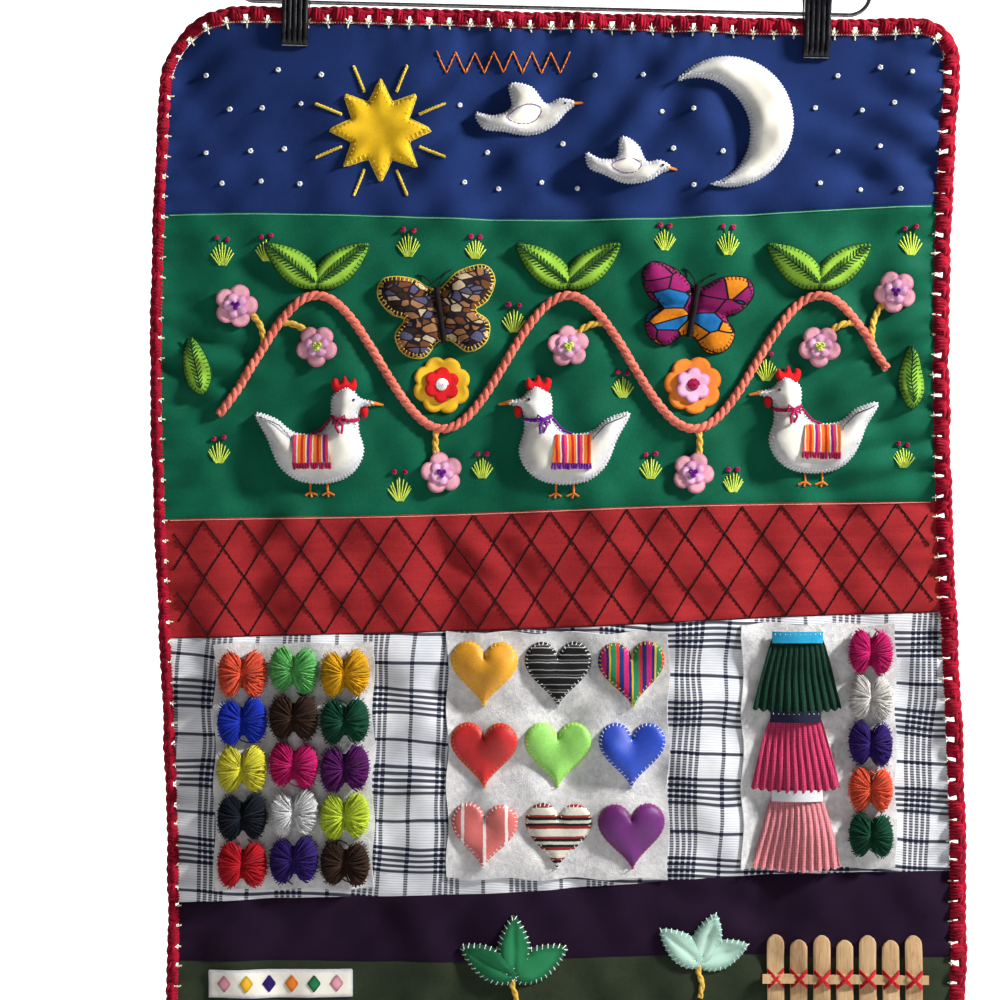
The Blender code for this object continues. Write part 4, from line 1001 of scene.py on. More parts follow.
def makeCrochet():
    look = crochetLook
    outline = clothLine()
    count = look["stitches"]
    length = np.hypot(*np.diff(np.vstack([outline, outline[:1]]), axis=0).T).sum()
    fine = 8
    ring = evenly(outline, length / (count * fine))[:count * fine]
    ahead = np.roll(ring, -2, 0) - np.roll(ring, 2, 0)
    ahead /= np.linalg.norm(ahead, axis=1, keepdims=True)
    out = np.stack([ahead[:, 1], -ahead[:, 0]], 1)
    total = len(ring)
    wide = crochetWidth(ring[:, 0], ring[:, 1]) + 0.5
    draw = random.Random(21)

    def at(k, along, outward, forward):
        j = int(round(k)) % total
        p = ring[j] + ahead[j] * along + out[j] * outward
        return p[0], p[1], forward
    posts, triangles, ticks = [], [], []
    for n in range(total // fine):
        k, w = n * fine, wide[(n * fine) % total]
        onTop = out[k % total][1] > look["facesUp"]
        foot = look["topFoot"] if onTop else draw.choice(look["feet"])
        puff = draw.uniform(0.78, 1.18)
        lean = draw.uniform(-1.0, 1.0)
        w = w + draw.uniform(-0.7, 0.3)
        for j, spread in enumerate(look["spreads"]):
            s = spread * puff
            top = w - draw.uniform(2.0, 3.0)
            bulge = look["bulge"] * puff + 0.3 * (j % 2) - 0.13 * spread ** 2
            posts.append([at(k, s * foot, 0.3, 0.2), at(k, s * 1.05 + lean * 0.4, w * 0.28, bulge),
                          at(k, s * 1.05 + lean, top * 0.75, bulge + 0.4),
                          at(k, s * 0.9 + lean, top + 0.6, bulge - 0.6),
                          at(k, s * 0.6, top + 1.0, 0.4)])
        posts.append([at(k, -1.8, 1.0, -1.2), at(k, -1.2, w * 0.5, -2.2), at(k, 0.0, w - 2.2, -1.8),
                      at(k, 1.6, w * 0.5, -2.2), at(k, 1.8, 1.0, -1.2)])
        half = length / count / 2
        if out[(k + 4) % total][1] > look["facesUp"]:
            triangles.append([at(k, -half + 1.0, 0.5, 1.2), at(k, -0.4, 0.6, 1.3),
                              at(k, half - 1.0, 0.5, 1.2)])
            triangles.append([at(k + 4, -1.9, 2.6, 2.6), at(k + 4, -0.8, 1.4, 2.4),
                              at(k + 4, 0.0, 0.1, 1.2),
                              at(k + 4, 0.8, 1.4, 2.4), at(k + 4, 1.9, 2.6, 2.6)])
            bite = draw.uniform(2.0, 3.0)
        else:
            bite = draw.uniform(1.0, 2.4)
        ticks.append([at(k + 4, 0.0, 0.9, 1.2), at(k + 4, 0.0, -0.4, 1.25),
                      at(k + 4, draw.uniform(-0.5, 0.5), -bite, 0.75)])
    turn = np.arange(total) * 2 * np.pi / fine
    chain = []
    for phase in (0.0, math.pi):
        place = wide - 1.7 + 0.75 * np.sin(turn + phase) + 0.25 * np.sin(turn / 5.3)
        line = ring + out * place[:, None]
        chain.append(np.column_stack([line, 0.3 + 1.25 * np.cos(turn + phase)]))
    inner = wide - 3.4 + 0.4 * np.sin(turn * 0.5 + 1.0)
    line = ring + out * inner[:, None]
    chain.append(np.column_stack([line, 1.5 + 0.7 * np.cos(turn + 2.0)]))
    parts = [thread("crochet_posts", posts, look["yarn"], "crimson", 0),
             thread("crochet_chain", chain, look["chain"], "crimson", 1, closed=True)]
    settle(joinPieces("crochet_edge_yarn", parts), "crimson", "crochet_edge")
    settle(thread("edge_blanket_stitch", triangles + ticks, look["tick"], "cream thread", 0), "yellow")
    print("crochet edge", len(posts))


# Sky

moonLook = {"u": 318.0, "v": 55.0, "outer": 37.0, "inner": 31.0, "shift": 19.0, "turn": 18.0}
starLook = {"u": 120.0, "v": 60.0, "points": 8, "outer": 29.0, "inner": 17.0, "rays": (33.0, 46.0)}
doveLine = ((33, 3), (24, 8.5), (13, 7), (5, 20), (-9, 25), (-11, 9), (-24, 6), (-36, 11), (-33, -1),
            (-20, -6),
            (-2, -12), (15, -9), (25, -2))
doveTable = (("dove_left", 205.0, 52.0, 12.0, 0.82), ("dove_right", 262.0, 82.0, -4.0, 0.70))
knotLook = {"ring": 0.95, "thread": 0.72, "clear": 9.0, "rows": (26.0, 47.0, 70.0, 91.0), "each": 19,
            "first": 20.0, "pitch": 22.5, "shift": 11.0, "loose": 3.5, "clip": 19.0, "last": 424.0}
zigzagLook = {"fromU": 152.0, "toU": 228.0, "v": 15.0, "height": 12.0, "points": 15}


def paddedForm(rim, crown, reach, base=None, **more):
    return {"base": onCloth if base is None else base, "rim": rim, "crown": crown, "reach": reach, **more}


def makeSky():
    outlines = []
    form = paddedForm(1.0, 6.3, 9.5, lump=0.3)
    ring = placed(crescent(moonLook["outer"], moonLook["inner"], moonLook["shift"]), moonLook["u"],
                  moonLook["v"],
                  moonLook["turn"])
    outlines.append(ring)
    settle(stuffed("moon_felt", ring, form, "white felt"), "white", "moon")
    whips = whipStitches(ring, form, 1.9)
    form = paddedForm(1.0, 3.6, 12.0, lump=0.2)
    ring = placed(star(starLook["points"], starLook["outer"], starLook["inner"]), starLook["u"],
                  starLook["v"])
    outlines.append(ring)
    settle(stuffed("star_cotton_piece", ring, form, "star cotton"), "yellow", "star")
    teeth = blanketStitches(ring, form, 2.6, 2.0)
    x, z = starLook["u"] - halfWidth, down(starLook["v"])
    near, far = starLook["rays"]
    rays = []
    for k in range(starLook["points"]):
        a = math.pi / 2 + 2 * math.pi * (k + 0.5) / starLook["points"]
        r = np.linspace(near - 9, far - 6, 16)
        for phase in (0, math.pi):
            side = 0.45 * np.sin(r * 1.6 + phase)
            rays.append(np.stack([x + r * math.cos(a) - side * math.sin(a),
                                  z + r * math.sin(a) + side * math.cos(a),
                                  1.15 + 0.4 * np.cos(r * 1.6 + phase)], 1))
    settle(thread("star_stitches", teeth, 0.36, "yellow thread", 0), "yellow")
    settle(thread("star_rays", rays, 0.62, "yellow thread", 1), "yellow")
    eyes, beaks, wings = [], [], []
    draw = random.Random(4)
    for name, u, v, turn, size in doveTable:
        ring = placed(rounded(doveLine), u, v, turn, size)
        outlines.append(ring)
        wing = placed(rounded(((9, 4), (1, 8), (-9, 6), (-15, 1), (-6, -4), (4, -3))), u, v, turn, size)
        form = paddedForm(0.9, 4.4, 7.5, lump=0.2, valleys=[([wing], 1.0, 1.2)])
        settle(stuffed(name + "_felt", ring, form, "white felt"), "white", name)
        whips += whipStitches(ring, form, 1.9, seed=6)
        high = crownHeight(form, 5.0)
        wings += backStitches(wing, 2.2, 0.3, high - 0.75, 9)
        eye = placed([(26, 3.8)], u, v, turn, size)[0]
        eyes.append(knot(*eye, 0.45, crownHeight(form, 2.4) + 0.25, draw))
        tip = placed([(31, 3.0), (38, 1.6)], u, v, turn, size)
        for lift in (-0.5, 0.4):
            beaks.append([(*tip[0] + (0, lift), 2.6), (*tip[1], 1.2)])
    settle(thread("sky_whip_stitches", whips, 0.34, "white thread", 0), "white")
    settle(thread("dove_wing_stitches", wings, 0.26, "purple thread", 0), "white")
    settle(thread("dove_eyes", eyes, 0.45, "black thread", 0, closed=True), "white")
    settle(thread("dove_beaks", beaks, 0.55, "orange thread", 1), "orange")
    across = np.linspace(zigzagLook["fromU"], zigzagLook["toU"], zigzagLook["points"])
    zigzag = [(u - halfWidth, down(zigzagLook["v"] + zigzagLook["height"] * (k % 2))) for k,
              u in enumerate(across)]
    settle(thread("sky_zigzag", backStitches(zigzag, 3.2, 0.5, 1.15, 5), 0.48, "orange thread", 0),
           "orange")
    outlines.append(np.array([(150, 10), (230, 10), (230, 32),
                              (150, 32)]) * (1, -1) + (-halfWidth, clothShape["top"]))
    knots = []
    draw = random.Random(17)
    look = knotLook
    for row, v in enumerate(look["rows"]):
        for k in range(look["each"]):
            u = look["first"] + look["pitch"] * k + (row % 2) * look["shift"]
            u = u + draw.uniform(-look["loose"], look["loose"])
            spot = np.array([u - halfWidth, down(v + draw.uniform(-3, 3))])
            nearClip = min(np.hypot(spot[0] - cx, spot[1] - cz + 14) for cx,
                           cz in clipPlaces) < look["clip"]
            busy = any(depthInside(o, spot[:1], spot[1:])[0] > -look["clear"] for o in outlines)
            ray = np.hypot(spot[0] - x, spot[1] - z) < starLook["rays"][1]
            if u < look["last"] and not (nearClip or busy or ray) and draw.random() > 0.12:
                knots.append(knot(*spot, look["ring"], 1.25, draw))
    settle(thread("sky_knots", knots, look["thread"], "white thread", 1, closed=True), "white")
    print("sky", len(knots))


# Field of green

vineLook = {"fromU": 28.0, "toU": 408.0, "v": 192.0, "height": 38.0, "wave": 143.0, "crest": 84.0,
            "radius": 2.7}
flowerTable = (
    # node, u, v, foot on the vine u, bow, radius
    ("flower_1", 38.0, 160.0, 54.0, 5.0, 12.5), ("flower_2", 84.0, 183.0, 63.0, -4.0, 12.0),
    ("flower_3", 155.0, 255.0, 152.0, 2.0, 12.0), ("flower_4", 227.0, 183.0, 248.0, 4.0, 12.0),
    ("flower_5", 298.0, 255.0, 301.0, -2.0, 12.0), ("flower_6", 370.0, 183.0, 391.0, 4.0, 12.0),
    ("flower_7", 413.0, 152.0, 399.0, -4.0, 12.0),
)
tallTable = (("tall_flower_left", 155.0, 205.0, 16.5, "mustard felt", "red felt", "white thread"),
             ("tall_flower_right", 298.0, 205.0, 16.5, "orange felt", "petal felt", "berry thread"))
leafTable = (
    # node, foot u, foot v, turns, length, width
    ("leaf_1", 84.0, 147.5, (-52.0, 52.0), 40.0, 18.0), ("leaf_2", 227.0, 147.5, (-52.0, 52.0), 40.0, 18.0),
    ("leaf_3", 370.0, 147.5, (-52.0, 52.0), 40.0, 18.0), ("leaf_4", 18.0, 208.0, (12.0,), 34.0, 15.0),
    ("leaf_5", 423.0, 216.0, (2.0,), 36.0, 14.0),
)
henLine = ((18, 31), (25, 24), (34, 21), (25.5, 17), (24, 6), (27, -7), (21, -19), (8, -25), (-10, -24),
           (-22, -15),
           (-29, 1), (-36, 15), (-24, 12), (-13, 4), (1, 4), (8, 12), (9, 25))
henTable = (("hen_left", 84.0, 236.0, 1, 0.98, "berry thread"),
            ("hen_middle", 226.0, 236.0, -1, 1.0, "purple thread"),
            ("hen_right", 368.0, 230.0, -1, 0.98, "berry thread"))
wingLine = ((3, 15), (14, 23), (29, 25), (34, 16), (28, 5), (20, 0), (27, -8), (24, -19), (13, -23),
            (4, -15))
butterflyTable = (("butterfly_left", 154.0, 165.0, 8.0, 0.98, "brown print", "yellow thread"),
                  ("butterfly_right", 298.0, 163.0, -10.0, 0.94, "bright print", "black thread"))
tuftTable = ((28, 243), (131, 264), (178, 252), (274, 252), (321, 260), (418, 246), (136, 125), (174, 127),
             (282, 122),
             (318, 124), (30, 130), (422, 124), (55, 128), (196, 168), (258, 206), (340, 196))


def vineV(u):
    along = 2 * np.pi * (u - vineLook["crest"]) / vineLook["wave"]
    return vineLook["v"] - vineLook["height"] * np.cos(along)


def cordLine(points, radius, name, finish):
    # A soft cord of two plies laid on the cloth
    line = evenly(points, 1.6, closed=False)
    ahead = np.gradient(line, axis=0)
    ahead /= np.linalg.norm(ahead, axis=1, keepdims=True)
    side = np.stack([-ahead[:, 1], ahead[:, 0]], 1)
    s = np.arange(len(line)) * 2 * np.pi / 6.0
    strands = []
    for phase in (0.0, math.pi):
        place = line + side * (0.40 * radius * np.sin(s + phase))[:, None]
        strands.append(np.column_stack([place, onCloth + radius * (0.62 + 0.22 * np.cos(s + phase))]))
    return thread(name, strands, radius * 0.66, finish, 2)


def stalk(u, v, foot, bow):
    start = np.array([foot, vineV(foot)])
    towards = np.array([u, v]) - start
    across = np.array([-towards[1], towards[0]]) / np.linalg.norm(towards)
    t = np.linspace(0, 1, 14)[:, None]
    line = start + towards * t + across * bow * np.sin(np.pi * t)
    return np.stack([line[:, 0] - halfWidth, down(line[:, 1])], 1)


def makeVine():
    u = np.linspace(vineLook["fromU"], vineLook["toU"], 160)
    vine = np.stack([u - halfWidth, down(vineV(u))], 1)
    settle(cordLine(vine, vineLook["radius"], "vine_cord", "coral cord"), "coral", "vine")
    draw = random.Random(31)
    for k, (name, u, v, foot, bow, radius) in enumerate(flowerTable):
        stem = cordLine(stalk(u, v, foot, bow), 2.0, name + "_stalk", "mustard cord")
        layers = [stem]
        turn = draw.uniform(0, 70)
        for size, rim, crown, base, finish in ((radius, 1.0, 0.8, onCloth + 1.8, "pink felt"),
                                               (radius * 0.60, 0.9, 0.7, onCloth + 3.3, "petal felt")):
            gaps = [placed([(1.5 * math.cos(a), 1.5 * math.sin(a)),
                            (size * 0.85 * math.cos(a), size * 0.85 * math.sin(a))],
                           u, v, turn) for a in np.radians(np.arange(5) * 72 + 36)]
            form = paddedForm(rim, crown, 2.2, base, lump=0.25, pitch=1.1, step=1.1,
                              valleys=[(gaps, 0.9, 0.9)])
            ring = placed(petals(size, 5, 0.26), u, v, turn)
            layers.append(stuffed("petals", ring, form, finish))
            turn += 36
        x, z = u - halfWidth, down(v)
        dots = [knot(x + 1.5 * math.cos(a), z + 1.5 * math.sin(a), 0.9, onCloth + 5.2,
                     draw) for a in (0.5, 2.6, 4.7)]
        layers.append(thread("dots", dots, 0.75, "purple thread" if k % 2 == 0 else "lime thread", 1,
                             closed=True))
        settle(joinPieces(name + "_rosette", layers), "pink", name)
    print("vine and rosettes")


def makeTallFlowers():
    for name, u, v, radius, outer, inner, middle in tallTable:
        layers = []
        draw = random.Random(12)
        for size, count, notch, base, crown, finish in ((radius, 8 if outer == "mustard felt" else 7, 0.15,
                                                         onCloth, 1.6, outer),
                                                        (radius * 0.62, 6, 0.24, onCloth + 2.4, 1.3,
                                                         inner)):
            form = paddedForm(1.1, crown * 0.5, 1.9, base, lump=0.3, pitch=1.1, step=1.1)
            layers.append(stuffed("lobes", placed(petals(size, count, notch), u, v, draw.uniform(0, 40)),
                                  form, finish))
        x, z = u - halfWidth, down(v)
        spiral = [(x + r * math.cos(a), z + r * math.sin(a), onCloth + 4.3 + 0.25 * (3.4 - r))
                  for a, r in ((t * 0.62, 3.4 - t * 0.105) for t in range(30))]
        layers.append(thread("centre", [spiral], 0.75, middle, 1))
        settle(joinPieces(name + "_layers", layers), "orange", name)
    print("tall flowers")


def veinStitches(foot, turn, length, form, spacing=2.3, reach=3.2):
    # A line of short slanting pairs up the middle of a leaf
    a = math.radians(turn)
    up, side = np.array([-math.sin(a), math.cos(a)]), np.array([math.cos(a), math.sin(a)])
    lines, s = [], 1.0
    while s < length * 0.88:
        p = foot + up * s
        here = crownHeight(form, 5.0) + 0.18
        lines.append([(*p, here), (*(p + up * spacing * 1.1), here)])
        spread = reach * math.sin(math.pi * min(1, (s + 3) / length)) ** 0.6
        for sign in (-1, 1):
            tip = p + up * spacing * 1.25 + side * sign * spread
            lines.append([(*p, here), (*((p + tip) / 2), here + 0.25), (*tip, here - 0.15)])
        s += spacing
    return lines


def makeLeaves():
    teeth, veins = [], []
    for name, u, v, turns, length, width in leafTable:
        blades = []
        for k, turn in enumerate(turns):
            form = paddedForm(0.9 + 0.3 * k, 2.6, 5.5, lump=0.2)
            ring = placed(leafShape(length, width), u, v, turn)
            blades.append(stuffed("blade", ring, form, "lime felt"))
            teeth += blanketStitches(ring, form, 2.5, 1.8)
            veins += veinStitches(placed([(0, 0)], u, v)[0], turn, length, form)
        settle(joinPieces(name + "_felt", blades), "lime", name)
    settle(thread("leaf_edge_stitches", teeth, 0.34, "green thread", 0), "leaf")
    settle(thread("leaf_veins", veins, 0.38, "green thread", 0), "leaf")
    print("leaves", len(teeth) + len(veins))


def makeHens():
    whips, eyes, beaks, combs, feet, lines = [], [], [], [], [], []
    draw = random.Random(23)
    cream, orange, edge = (0.80, 0.75, 0.62), (0.85, 0.20, 0.02), (0.60, 0.02, 0.02)
    stripes = ((0.0, edge), (0.16, orange), (0.30, cream), (0.38, (0.30, 0.01, 0.20)),
               (0.55, (0.85, 0.06, 0.12)),
               (0.72, cream), (0.80, orange), (1.0, edge))
    finishes["saddle"] = stripedFinish("woven_saddle", stripes, 9.0, "X")
    for name, u, v, flip, size, tie in henTable:
        ring = placed(flipped(rounded(henLine), flip), u, v, 0, size)[::-1]
        fold = placed(np.asarray([(9, 13), (15, 9), (24, 9)], float) * (flip, 1), u, v, 0, size)
        form = paddedForm(1.0, 7.2, 12.0, lump=0.3, valleys=[([fold], 1.5, 2.0)])
        settle(stuffed(name + "_felt", ring, form, "white felt"), "white", name)
        whips += whipStitches(ring, form, 2.0, seed=13)

        def spot(points):
            return placed(np.asarray(points, float) * (flip, 1), u, v, 0, size)

        def lifted(points, extra):
            p = spot(points)
            return np.column_stack([p,
                                    crownHeight(form, np.maximum(depthInside(ring, p[:, 0], p[:, 1]),
                                                                 0)) + extra])
        corners = np.array([(-13.5, 2.5), (6.5, 2.5), (8.5, -13.0), (-13.5, -14.0)])

        def saddle(s, t):
            flat = ((1 - s) * (1 - t))[:, None] * corners[3] + (s * (1 - t))[:, None] * corners[2]
            flat = flat + (s * t)[:, None] * corners[1] + ((1 - s) * t)[:, None] * corners[0]
            p = placed(flat * (flip, 1), u, v, 0, size)
            lift = crownHeight(form, np.maximum(depthInside(ring, p[:, 0], p[:, 1]), 0)) + 0.75
            return p[:, 0], p[:, 1], surfaceAt(p[:, 0], p[:, 1]) + lift
        cloth = gridPiece(name + "_saddle", 22, 16, saddle, "saddle", 0.7)
        settle(cloth, "pink")
        fringe = []
        for k in range(15):
            at = -13.2 + k * 1.52
            fringe.append(lifted([(at, -13.6),
                                  (at + draw.uniform(-0.6, 0.6), -16.6 - draw.uniform(0, 0.8))], 0.9))
        neck = lifted([(8.2, 13.5), (13.0, 11.2), (19.0, 10.6), (24.6, 11.5)], 1.1)
        band = []
        for phase in (0.0, math.pi):
            fine = evenly(neck[:, :2], 0.8, closed=False)
            s = np.arange(len(fine)) * 1.15 + phase
            lift = np.interp(np.linspace(0, 1, len(fine)), np.linspace(0, 1, len(neck)), neck[:, 2])
            band.append(np.column_stack([fine[:, 0], fine[:, 1] + 0.55 * np.sin(s),
                                         lift + 0.5 * np.cos(s)]))
        for tail in ([(13, 11), (11.5, 7), (13.5, 3.5)], [(13, 11), (15.5, 7.5), (15.0, 3.0)],
                     [(13, 11), (9.5, 9.0), (10.2, 12), (13, 11)],
                     [(13, 11), (16.5, 13.6), (17.4, 10.2), (13, 11)], [(8, 12), (2, 5), (-3, 3.2)]):
            band.append(lifted(tail, 1.6))
        wool = thread(name + "_tie_yarn", band + fringe, 0.72, tie, 1)
        settle(wool, "crimson")
        eyes.append([tuple(q) for q in lifted([(21.6 + 0.5 * math.cos(a),
                                                22.6 + 0.5 * math.sin(a)) for a in np.linspace(0, 5.2, 6)],
                                              0.35)])
        for lift in (-0.7, 0.0, 0.7):
            tip = spot([(31.0, 21.4 + lift), (38.5, 20.0)])
            beaks.append([(*tip[0], 3.0), (*tip[1], 1.3)])
        for line in (((10, 28), (8.5, 33.5), (11.5, 35.5), (13.6, 32.5), (16, 37), (18.8, 33), (22, 35.5),
                      (23.2, 30.5), (20, 27), (14, 26)),
                     ((25.5, 19), (29.6, 18.6), (29.4, 14), (27.2, 12.2), (25.4, 15))):
            edge = placed(flipped(line, flip), u, v, 0, size)
            combs.append(stuffed("comb", rounded(edge, 5),
                                 paddedForm(1.0, 1.2, 2.5, onCloth + 1.0, pitch=1.0, step=1.0), "red felt"))
        for foot in (-4.0, 6.0):
            p = spot([(foot, -24.2), (foot, -30.5), (foot + 4, -32.2), (foot - 3, -32.4),
                      (foot + 0.8, -33.4)])
            feet += [[(*p[0], 1.6), (*p[1], 1.15)]] + [[(*p[1], 1.15), (*q, 1.05)] for q in p[2:]]
        lines += backStitches(spot([(-33, 13), (-22, 8.5), (-15, 1.0), (-16, -6)]), 2.2, 0.3,
                              crownHeight(form, 5.0) - 0.5, 4)
    settle(thread("hen_whip_stitches", whips, 0.34, "white thread", 0), "white")
    settle(thread("hen_eyes", eyes, 0.42, "black thread", 1), "white")
    settle(thread("hen_beaks_and_feet", beaks + feet, 0.6, "orange thread", 1), "orange")
    settle(joinPieces("hen_combs", combs), "crimson")
    settle(thread("hen_tail_stitches", lines, 0.26, "black thread", 0), "white")
    print("hens", len(whips))


def makeButterflies():
    half = np.asarray(wingLine, float)
    outline = np.vstack([half * (-1, 1), half[::-1]])
    for name, u, v, turn, size, finish, edge in butterflyTable:
        ring = placed(rounded(outline), u, v, turn, size)
        body = placed([(0, 15), (0, -15)], u, v, turn, size)
        folds = [placed([(2, 2), (17, 1)], u, v, turn, size), placed([(-2, 2), (-17, 1)], u, v, turn, size)]
        form = paddedForm(0.9, 4.4, 9.0, lump=0.3, valleys=[([body], 2.6, 2.4), (folds, 1.2, 2.0)])
        settle(stuffed(name + "_cloth", ring, form, finish), "print", name)
        settle(thread(name + "_edge", blanketStitches(ring, form, 2.4, 1.9), 0.36, edge, 0), "print")
        spine = placed([(0, 16 - 1.1 * k) for k in range(30)], u, v, turn, size)
        s = np.arange(30)
        spindle = np.column_stack([spine, onCloth + 3.4 + 0.9 * np.sin(np.pi * s / 29)])
        feelers = []
        for sign in (-1, 1):
            p = placed([(sign * 0.8, 15), (sign * 3, 20), (sign * 7, 24), (sign * 10, 25)], u, v, turn,
                       size)
            feelers.append([(*q, lift) for q, lift in zip(p, (3.6, 2.6, 1.3, 1.2))])
        parts = [thread("body", [spindle], 1.7, "black thread", 2),
                 thread("feelers", feelers, 0.42, "black thread", 1)]
        settle(joinPieces(name + "_body", parts), "print")
    print("butterflies")


def makeTufts():
    blades, stems, buds = [], [], []
    draw = random.Random(40)
    for u, v in tuftTable:
        x, z = u - halfWidth, down(v)
        size = draw.uniform(0.88, 1.08)
        for k in range(9):
            a = math.radians(-44 + 11 * k + draw.uniform(-3, 3))
            tall = (12.6 - 3.4 * abs(k - 4) / 4) * size
            foot = np.array([x + 0.42 * (k - 4), z - 6.5 * size])
            tip = foot + tall * np.array([math.sin(a) * 0.72, math.cos(a)])
            blades.append([(*foot, 0.8), (*(foot * 0.7 + tip * 0.3), 1.35),
                           (*(foot * 0.3 + tip * 0.7), 1.35), (*tip, 0.8)])
        for side in (-1, 1):
            p = np.array([x + side * 2.9 * size, z + 8.4 * size + draw.uniform(-0.8, 0.8)])
            stems.append([(x + side * 1.6, z + 4.5 * size, 1.0), (*p, 1.2)])
            buds.append(knot(*p, 0.75, 1.5, draw))
    settle(thread("tuft_blades", blades, 0.44, "lime thread", 0), "lime")
    settle(thread("tuft_stems", stems, 0.30, "green thread", 0), "leaf")
    settle(thread("tuft_buds", buds, 0.95, "berry thread", 1, closed=True), "crimson")
    print("tufts", len(blades))


# Goods on the check cloth

feltTable = (("felt_left", 26.0, 116.0, 352.0, 492.0), ("felt_middle", 158.0, 284.0, 346.0, 486.0),
             ("felt_right", 326.0, 414.0, 341.0, 480.0))
columnTable = (
    # node, u, v of the first hank, hanks, pitch, radius, colours down the column
    ("yarn_column_1", 42.0, 369.0, 5, 27.0, 14.0, ("coral", "royal", "canary", "ink", "scarlet")),
    ("yarn_column_2", 71.0, 367.0, 5, 27.0, 14.0, ("mint", "brown", "magenta", "snow", "indigo")),
    ("yarn_column_3", 100.0, 369.0, 5, 27.0, 14.0, ("gold", "bottle", "violet", "lemon", "brown")),
    ("yarn_column_4", 399.0, 357.0, 5, 26.0, 12.5, ("magenta", "white", "indigo", "coral", "bottle")),
)
hankColours = {
    "royal": (0.010, 0.035, 0.52), "lemon": (0.62, 0.78, 0.05), "bottle": (0.004, 0.075, 0.038),
    "magenta": (0.62, 0.010, 0.16), "white": (0.72, 0.70, 0.66), "snow": (0.80, 0.80, 0.82),
    "ink": (0.006, 0.010, 0.020),
    "scarlet": (0.58, 0.008, 0.020), "brown": (0.045, 0.020, 0.012), "gold": (0.80, 0.42, 0.008),
    "canary": (0.76, 0.70, 0.05), "indigo": (0.035, 0.012, 0.17), "coral": (0.85, 0.11, 0.05),
    "mint": (0.16, 0.62, 0.16),
    "violet": (0.11, 0.008, 0.13),
}
hankLook = {"loops": 36, "strand": 0.42, "points": 9, "fan": 81.0}


def makeFeltPanels():
    for name, u0, u1, v0, v1 in feltTable:
        def shape(s, t):
            x = u0 + (u1 - u0) * s - halfWidth
            z = down(v1) + (v1 - v0) * t
            edge = np.minimum(np.minimum(s * (u1 - u0), (1 - s) * (u1 - u0)),
                              np.minimum(t, 1 - t) * (v1 - v0))
            x = x + 0.8 * np.sin(z / 7.0) * np.exp(-edge / 3)
            z = z + 0.8 * np.sin(x / 6.0) * np.exp(-edge / 3)
            matted = 0.15 * np.sin(x / 5) * np.sin(z / 6)
            return x, z, surfaceAt(x, z) + onCloth + clothShape["felt"] / 2 + matted
        piece = gridPiece(name + "_sheet", round((u1 - u0) / 2.5), round((v1 - v0) / 2.5), shape,
                          "panel felt", clothShape["felt"])
        settle(piece, "white", name)
    print("felt panels")


def hank(u, v, radius, tall, finish, seed):
    # Yarn doubled into two full lobes and drawn in at its middle
    draw = random.Random(seed)
    x, z = u - halfWidth, down(v)
    wide, high, deep = radius * 0.52, tall * 0.50, radius * 0.66

    def dome(px, pz, share):
        off = ((np.abs(px) - wide * 0.98) / wide) ** 2 + (pz / high) ** 2
        return onFelt + 0.6 + deep * share * np.sqrt(np.clip(1.06 - off, 0.02, 1))
    lines = []
    turned = draw.uniform(-0.12, 0.12)
    for sign in (-1, 1):
        for k in range(hankLook["loops"]):
            layer = 0.86 + 0.16 * (k % 3) / 2
            share = 2 * (k + draw.uniform(0.2, 0.8)) / hankLook["loops"] - 1
            lie = math.radians(hankLook["fan"]) * math.sin(math.pi / 2 * share)
            c, d = math.cos(lie), math.sin(lie)
            far = (2 * c / wide) / (c * c / wide ** 2 + d * d / high ** 2) * draw.uniform(0.93, 1.03)
            t = np.linspace(0.03, 1, hankLook["points"])
            curl = lie * (1.22 - 0.22 * t) + draw.uniform(-0.10, 0.10) * np.sin(math.pi * t)
            px = far * t * np.cos(curl)
            pz = far * t * np.sin(curl)
            px = np.clip(px, 0, radius * 1.02)
            forward = dome(px, pz, layer * draw.uniform(0.95, 1.05))
            px, pz = sign * px - turned * pz * 0.4, pz + sign * turned * px
            lines.append(np.stack([x + px, z + pz, forward], 1))
    for k in range(3):
        lines.append([(x - 0.9 + 0.7 * k, z - tall * 0.30, onFelt + 1.0),
                      (x - 0.6 + 0.6 * k, z, onFelt + deep * 0.62),
                      (x - 0.9 + 0.7 * k, z + tall * 0.30, onFelt + 1.0)])
    for k in range(2):
        a = draw.uniform(0, 6.28)
        lines.append([(x + radius * (0.60 + 0.34 * t) * math.cos(a + 1.1 * t),
                       z + tall * 0.5 * (0.6 + 0.45 * t) * math.sin(a + 1.1 * t),
                       onFelt + 1.2 + 0.55 * deep * (1 - t)) for t in np.linspace(0, 1, 6)])
    strands = thread("strands", lines, hankLook["strand"], finish, 0)
    bodies = []
    for sign in (-1, 1):
        bpy.ops.object.select_all(action="DESELECT")
        bpy.ops.mesh.primitive_uv_sphere_add(segments=18, ring_count=10, radius=1.0)
        lobe = bpy.context.object
        co = np.array([c.co[:] for c in lobe.data.vertices])
        px = x + sign * (wide * 0.98 + co[:, 0] * wide * 0.92)
        pz = z + co[:, 2] * high * 0.90 + turned * sign * wide
        forward = onFelt + 0.4 + deep * 0.36 + co[:, 1] * -deep * 0.36
        y = -(surfaceAt(px, pz) + forward)
        bodies.append(reshaped(lobe, np.stack([px, y, pz], 1), finish))
    return [strands] + bodies


def makeHanks():
    for key, colour in hankColours.items():
        finishes["hank " + key] = yarnFinish("hank_" + key, tuple(0.35 * c for c in colour), colour,
                                             rough=0.8, strand=0.6)
    for name, u, v, count, pitch, radius, colours in columnTable:
        parts = []
        for k in range(count):
            parts += hank(u, v + k * pitch, radius, pitch, "hank " + colours[k], 50 + k + round(u))
        settle(joinPieces(name + "_hanks", parts), "yarn", name)
    print("hanks")


